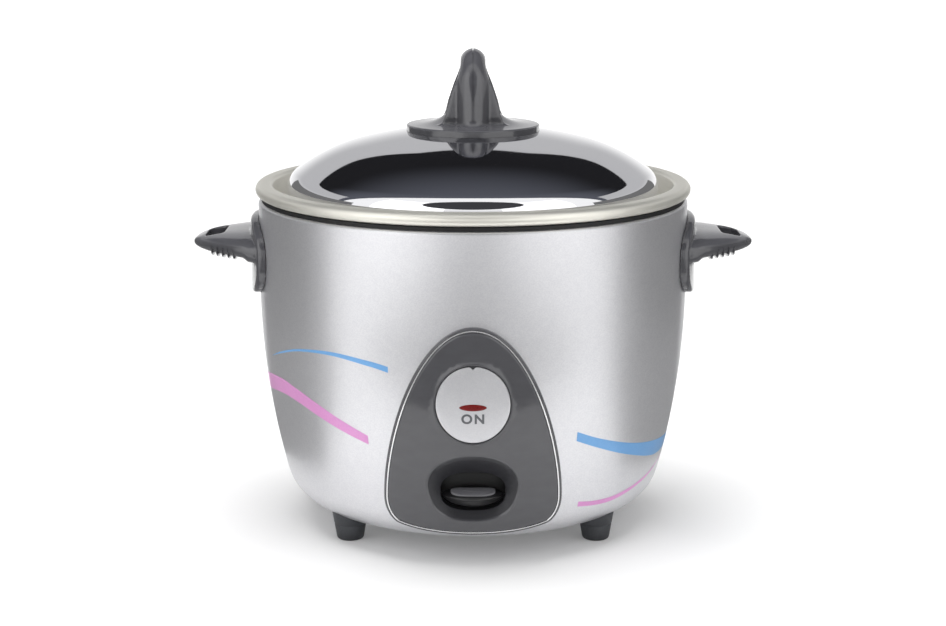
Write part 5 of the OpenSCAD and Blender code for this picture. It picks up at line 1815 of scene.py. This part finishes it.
@dataclass
class LeverBar:
    """The cook lever's boat-shaped bar with its finger pad."""

    half: float = 15.9
    back: float = 99.5
    front: float = 110.0
    z: float = 38.7
    top: float = 43.2
    low: float = 33.2
    pad_half: float = 11.2
    pad_depth: float = 3.3
    pad_shift: float = 1.0
    curtain_half: Flat = (18.6, 12.2)
    curtain_back: float = 93.9
    curtain_t: float = 0.8
    slices: int = 48

    def nose(self, x: float) -> float:
        """How far in front of the axis the ridge lies at x.

        Args:
            x: The place along the bar.

        Returns:
            The distance.
        """
        reach = self.front - self.back
        radius = (self.half ** 2 + reach ** 2) / (2 * reach)
        return self.front - radius + math.sqrt(max(0.0, radius ** 2 - x * x))

    def bar(self) -> Thing:
        """The bar, lofted along X.

        Returns:
            The piece.
        """
        rings = []
        for i in range(self.slices + 1):
            x = 0.9995 * self.half * (2 * i / self.slices - 1)
            tall = (1 - abs(x / self.half) ** 1.7) ** (1 / 1.7)
            front = self.nose(x)
            deep = max(front - self.back, 0.4)
            section = ([(self.back, self.top - self.z), (self.back + deep * 0.1, self.top - self.z)]
                       + curve((self.back + deep * 0.1, self.top - self.z), (self.back + deep * 0.6, 3.4),
                               (front - 1.2, 1.4), (front - 0.25, 0.45), 10)
                       + curve((front - 0.25, 0.45), (front, 0.2), (front, -0.3), (front - 0.5, -0.8), 5)
                       + curve((front - 0.5, -0.8), (front - 2, -1.6),
                               (self.back + deep * 0.6, self.low - self.z),
                               (self.back + deep * 0.4, self.low - self.z), 8)
                       + [(self.back, self.low - self.z + 0.8)])
            rings.append([(x, -y, self.z + z * max(tall, 0.02)) for y, z in section])
        return Form().loft(rings).piece("lever_bar", 50)

    def pad(self) -> Thing:
        """The pad on the bar's upper face, with a softened edge.

        Returns:
            The piece.
        """
        rings = []
        lift = math.atan2(self.top - self.z - 0.5, self.front - self.back - 1.5)
        for grow, up in ((0, 0.1), (0, 0.85), (-0.25, 1.15), (-0.8, 1.25), (-3.0, 1.3)):
            ring = []
            for x, v in oval(self.pad_half + grow, self.pad_depth + grow * 0.9, 2.8, 72):
                v += self.pad_shift
                y = ((self.nose(x) - self.nose(0)) * 0.6 + (self.front + self.back) / 2
                     + v * math.cos(lift) * 0.92)
                z = self.z + 2.5 - v * math.sin(lift) + up * math.cos(lift)
                ring.append((x, -y - up * math.sin(lift), z))
            rings.append(ring)
        return Form().loft(rings).piece("lever_pad")

    def curtain(self) -> Thing:
        """The black plate behind the bar that hides the housing's inside.

        Returns:
            The piece.
        """
        rings = []
        half, rise = self.curtain_half
        for grow, deep in ((-0.3, self.curtain_t), (0, self.curtain_t - 0.2), (0, 0.2), (-0.3, 0)):
            rings.append([(x, -(self.curtain_back + deep), self.z + 0.1 + z)
                          for x, z in oval(half + grow, rise + grow, 5, 64)])
        return Form().loft(rings).piece("lever_curtain")

    def build(self) -> None:
        """Makes and dresses the lever's visible parts."""
        DRESSER.piece(self.curtain(), "liner_black", "lever")
        DRESSER.piece(self.bar(), "black_plastic", "lever", "lever_knob")
        DRESSER.piece(self.pad(), "pad_grey", "lever", "lever_cap")


@dataclass
class Feet:
    """Four moulded feet that meet the curved bottom."""

    body: ShellCurve
    at: Flat = (65.0, 54.0)
    low_r: float = 7.0
    high_r: float = 9.9
    top: float = 17.1
    bore_r: float = 2.9
    recess_r: float = 4.2
    seat: float = 5.0
    groove_z: float = 8.4
    groove: float = 0.35

    def side(self, z: float) -> Flat:
        """The point of a foot's leaning side at height z."""
        return (self.low_r + (self.high_r - self.low_r) / self.top * z, z)

    def build(self) -> None:
        """Makes and dresses the feet."""
        sunk = (self.side(self.groove_z)[0] - self.groove, self.groove_z)
        profile = [(self.bore_r, self.seat), (self.bore_r, self.top), (self.high_r, self.top),
                   self.side(self.groove_z + 0.6), sunk, self.side(self.groove_z - 0.6), self.side(1.4)]
        profile += arc((self.low_r - 1.1, 1.2), 1.2, 0, -90, 6)
        profile += [(self.recess_r + 0.4, 0), (self.recess_r, 0.5), (self.recess_r, self.seat),
                    (self.bore_r, self.seat)]
        foot = spun("foot", profile, DRESSER.by_slot["foot_rubber"], 64)
        x, y = self.at
        places = [(x, y, 0), (-x, y, 0), (-x, -y, 0), (x, -y, 0)]
        feet = repeated("feet_mouldings", foot, places, [(0, 0, 0)] * 4, DRESSER.by_slot["foot_rubber"])
        under = self.body.bottom - 0.05
        solid = spun("body_cutter", [(0, under), (66, under)] + self.body.side(0.05, 140)[::-1] + [(0, 140)],
                     DRESSER.by_slot["foot_rubber"], 192)
        DRESSER.piece(cut(feet, [solid]), "foot_rubber", "housing", "feet")


# ---- Studio ----


@dataclass
class Studio:
    """The camera, the lamps, the floor and the cards that the gloss reflects."""

    eye: Solid = (0.0, -1.0, 0.328)
    tilt: float = 12.3
    lens: float = 71.24
    sensor: float = 36.0
    floor: float = 14.0
    floor_lift: float = 0.12
    world_light: float = 0.36

    @staticmethod
    def seen(tree: Tree) -> object:
        """1 where the camera, gloss or glass looks, and 0 for plain light.

        Args:
            tree: The tree that it goes in.

        Returns:
            The socket that gives it.
        """
        path = add(tree, "ShaderNodeLightPath")
        clear = maths(tree, "ADD", path.outputs["Is Glossy Ray"], path.outputs["Is Transmission Ray"])
        return maths(tree, "ADD", path.outputs["Is Camera Ray"], clear, clamp=True)

    def camera(self) -> None:
        """The camera, and plain colour handling."""
        scene = bpy.context.scene
        scene.view_settings.view_transform = "Standard"
        data = bpy.data.cameras.new("camera")
        data.lens, data.sensor_width, data.clip_end = self.lens, self.sensor, 100
        thing = placed("camera", data)
        thing.location = self.eye
        thing.rotation_euler = (math.radians(90 - self.tilt), 0, 0)
        scene.camera = thing

    def world(self) -> None:
        """White to the camera and in reflections, softer as a light."""
        world = bpy.data.worlds.new("studio")
        bpy.context.scene.world = world
        tree = emptied(world)
        level = maths(tree, "MULTIPLY_ADD", self.seen(tree), 1 - self.world_light, self.world_light)
        light = add(tree, "ShaderNodeBackground", {"Color": (1, 1, 1, 1), "Strength": level})
        add(tree, "ShaderNodeOutputWorld", {0: light.outputs[0]})

    @staticmethod
    def lamp(name: str, place: Solid, aim: Solid, size: Flat, power: float) -> None:
        """A soft rectangular lamp that faces a point; the cards stand for it in gloss.

        Args:
            name: Its name.
            place, aim: Where it hangs and the point that it faces, in metres.
            size: Its two sides, in metres.
            power: Its power, in watts.
        """
        data = bpy.data.lights.new(name, "AREA")
        data.shape, data.size, data.size_y, data.energy = "RECTANGLE", size[0], size[1], power
        thing = placed(name, data)
        thing.location = place
        thing.rotation_euler = (Vector(aim) - Vector(place)).to_track_quat("-Z", "Y").to_euler()
        thing.visible_glossy = False

    @staticmethod
    def card(name: str, rows: Sequence[Sequence[Solid]], low: Solid, high: Solid | None = None,
             axis: str = "Z", span: Flat = (0, 1)) -> None:
        """A card that only gloss sees.

        Args:
            name: Its name.
            rows: Its rows of points, in metres.
            low: Its colour, where 1 is white.
            high: The colour that it fades to, if it does.
            axis: The axis along which it fades.
            span: Where the fade begins and ends on that axis, in metres.
        """
        form = Form()
        form.string([form.ring([Vector(p) / MM for p in row]) for row in rows], closed=False)
        material = bpy.data.materials.new(name)
        tree = emptied(material)
        place = add(tree, "ShaderNodeSeparateXYZ", {0: add(tree, "ShaderNodeTexCoord").outputs["Object"]})
        share = add(tree, "ShaderNodeMapRange", {
            "Value": place.outputs[axis], "From Min": span[0], "From Max": span[1]},
            interpolation_type="SMOOTHSTEP")
        tone = add(tree, "ShaderNodeMix", {
            0: share.outputs[0], FIRST: (*low, 1), SECOND: (*(high or low), 1)}, data_type="RGBA")
        light = add(tree, "ShaderNodeEmission", {"Color": tone.outputs[MIXED], "Strength": 1.0})
        add(tree, "ShaderNodeOutputMaterial", {0: light.outputs[0]})
        thing = form.piece(name)
        thing.data.materials.append(material)
        for ray in ("camera", "diffuse", "shadow", "transmission", "volume_scatter"):
            setattr(thing, "visible_" + ray, False)

    @staticmethod
    def bent(radius: float, turns: Flat, heights: Flat) -> list[list[Solid]]:
        """Rows of a standing card that bends round the object.

        Args:
            radius: How far it stands from the axis.
            turns: Its first and last angle in degrees from the front towards +X.
            heights: Its low and high edge.

        Returns:
            The rows, in metres.
        """
        angles = [math.radians(turns[0] + (turns[1] - turns[0]) * i / 16) for i in range(17)]
        return [[(radius * math.sin(a), -radius * math.cos(a), z) for a in angles] for z in heights]

    def ground(self) -> None:
        """A wide pale floor that runs into the white behind it."""
        form = Form()
        half = self.floor * 500
        form.bm.faces.new(form.ring([(-half, -half, 0), (half, -half, 0), (half, half, 0), (-half, half, 0)]))
        thing = form.piece("floor")
        material = bpy.data.materials.new("floor")
        tree = emptied(material)
        place = add(tree, "ShaderNodeTexCoord").outputs["Object"]
        reach = add(tree, "ShaderNodeVectorMath", {0: place}, operation="LENGTH").outputs["Value"]
        far = add(tree, "ShaderNodeMapRange", {
            "Value": reach, "From Min": 0.5, "From Max": 3.0, "To Min": self.floor_lift, "To Max": 1.0},
            interpolation_type="SMOOTHSTEP")
        paint = add(tree, "ShaderNodeBsdfDiffuse", {"Color": (0.8, 0.8, 0.8, 1)})
        lift = maths(tree, "MULTIPLY", self.seen(tree), far.outputs[0])
        light = add(tree, "ShaderNodeEmission", {"Color": (1, 1, 1, 1), "Strength": lift})
        both = add(tree, "ShaderNodeAddShader", {0: paint.outputs[0], 1: light.outputs[0]})
        add(tree, "ShaderNodeOutputMaterial", {0: both.outputs[0]})
        thing.data.materials.append(material)

    def overhead(self) -> None:
        """The cards above, behind and in front that the lid's dome and the knob reflect."""
        self.card("card_ceiling", [[(x, y, 2.1) for x in (-9, 9)] for y in (-0.45, 0.3, 1.2, 3.0)],
                  (0.095, 0.1, 0.12), (0.014, 0.014, 0.016), axis="Y", span=(-0.2, 1.6))
        self.card("card_back", self.bent(3.2, (90, 270), (0.1, 0.6, 1.2, 2.2, 3.4)),
                  (1.0, 1.0, 1.0), (0.5, 0.5, 0.51), axis="Z", span=(0.15, 1.3))
        self.card("card_table", [[(x, y, 0.002) for x in (-0.42, 0.42)] for y in (-3.2, -0.262)], (0.34,) * 3)
        middle, (wide, tall) = (0.0, -1.2, 1.3), (0.8, 0.75)
        turns = [math.radians(a) for a in range(5, 180, 10)]
        rows = [[(middle[0] + side * wide * math.sin(t), middle[1], middle[2] - tall * math.cos(t))
                 for side in (-1, 1)] for t in turns]
        self.card("card_camera", rows, (0.05, 0.05, 0.055))
        self.card("card_horizon", self.bent(2.6, (-26, 26), (0.0, 0.4, 0.85)), (0.85, 0.85, 0.86))

    def sides(self) -> None:
        """The bright boxes and the grey cards that the shell reflects at either side."""
        for side, name, level in ((-1, "left", 1.65), (1, "right", 1.4)):
            box = self.bent(1.5, (side * 17, side * 63), (0.01, 0.9, 1.75))
            self.card("card_box_" + name, box, (level,) * 3)
            self.card("card_" + name, self.bent(0.5, (side * 71, side * 140), (0.0, 0.3)), (0.17,) * 3)
            rows = [row for r in (0.15, 0.5) for row in self.bent(r, (side * 68, side * 140), (0.003,))]
            self.card("card_low_" + name, rows, (0.3,) * 3)

    def build(self) -> None:
        """Sets the stage."""
        self.camera()
        self.world()
        self.ground()
        self.lamp("key", place=(-0.12, 0.1, 2.2), aim=(0, 0, 0), size=(1.9, 1.9), power=58)
        self.lamp("left", place=(-1.7, -1.2, 1.7), aim=(0, 0, 0.12), size=(1.6, 1.6), power=13)
        self.lamp("right", place=(1.8, -1.0, 1.9), aim=(0, 0, 0.12), size=(1.6, 1.6), power=10)
        self.overhead()
        self.sides()


# ---- The cooker ----


def main() -> None:
    """Builds every sub-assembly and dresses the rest."""
    global TREES, PATTERNS, DRESSER
    logging.basicConfig(level=logging.INFO, format="%(name)s: %(message)s")
    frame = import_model()
    TREES, PATTERNS = Trees(), Patterns()
    DRESSER = Dresser()
    DRESSER.nodes(frame)
    Studio().build()
    body = ShellCurve()
    for assembly in (Housing(body), CookingPan(), Lid(), SideHandle(body, -1, "left_handle"),
                     SideHandle(body, 1, "right_handle"), FrontPanel(body), LeverBar(), Feet(body)):
        assembly.build()


if __name__ == "__main__":
    main()
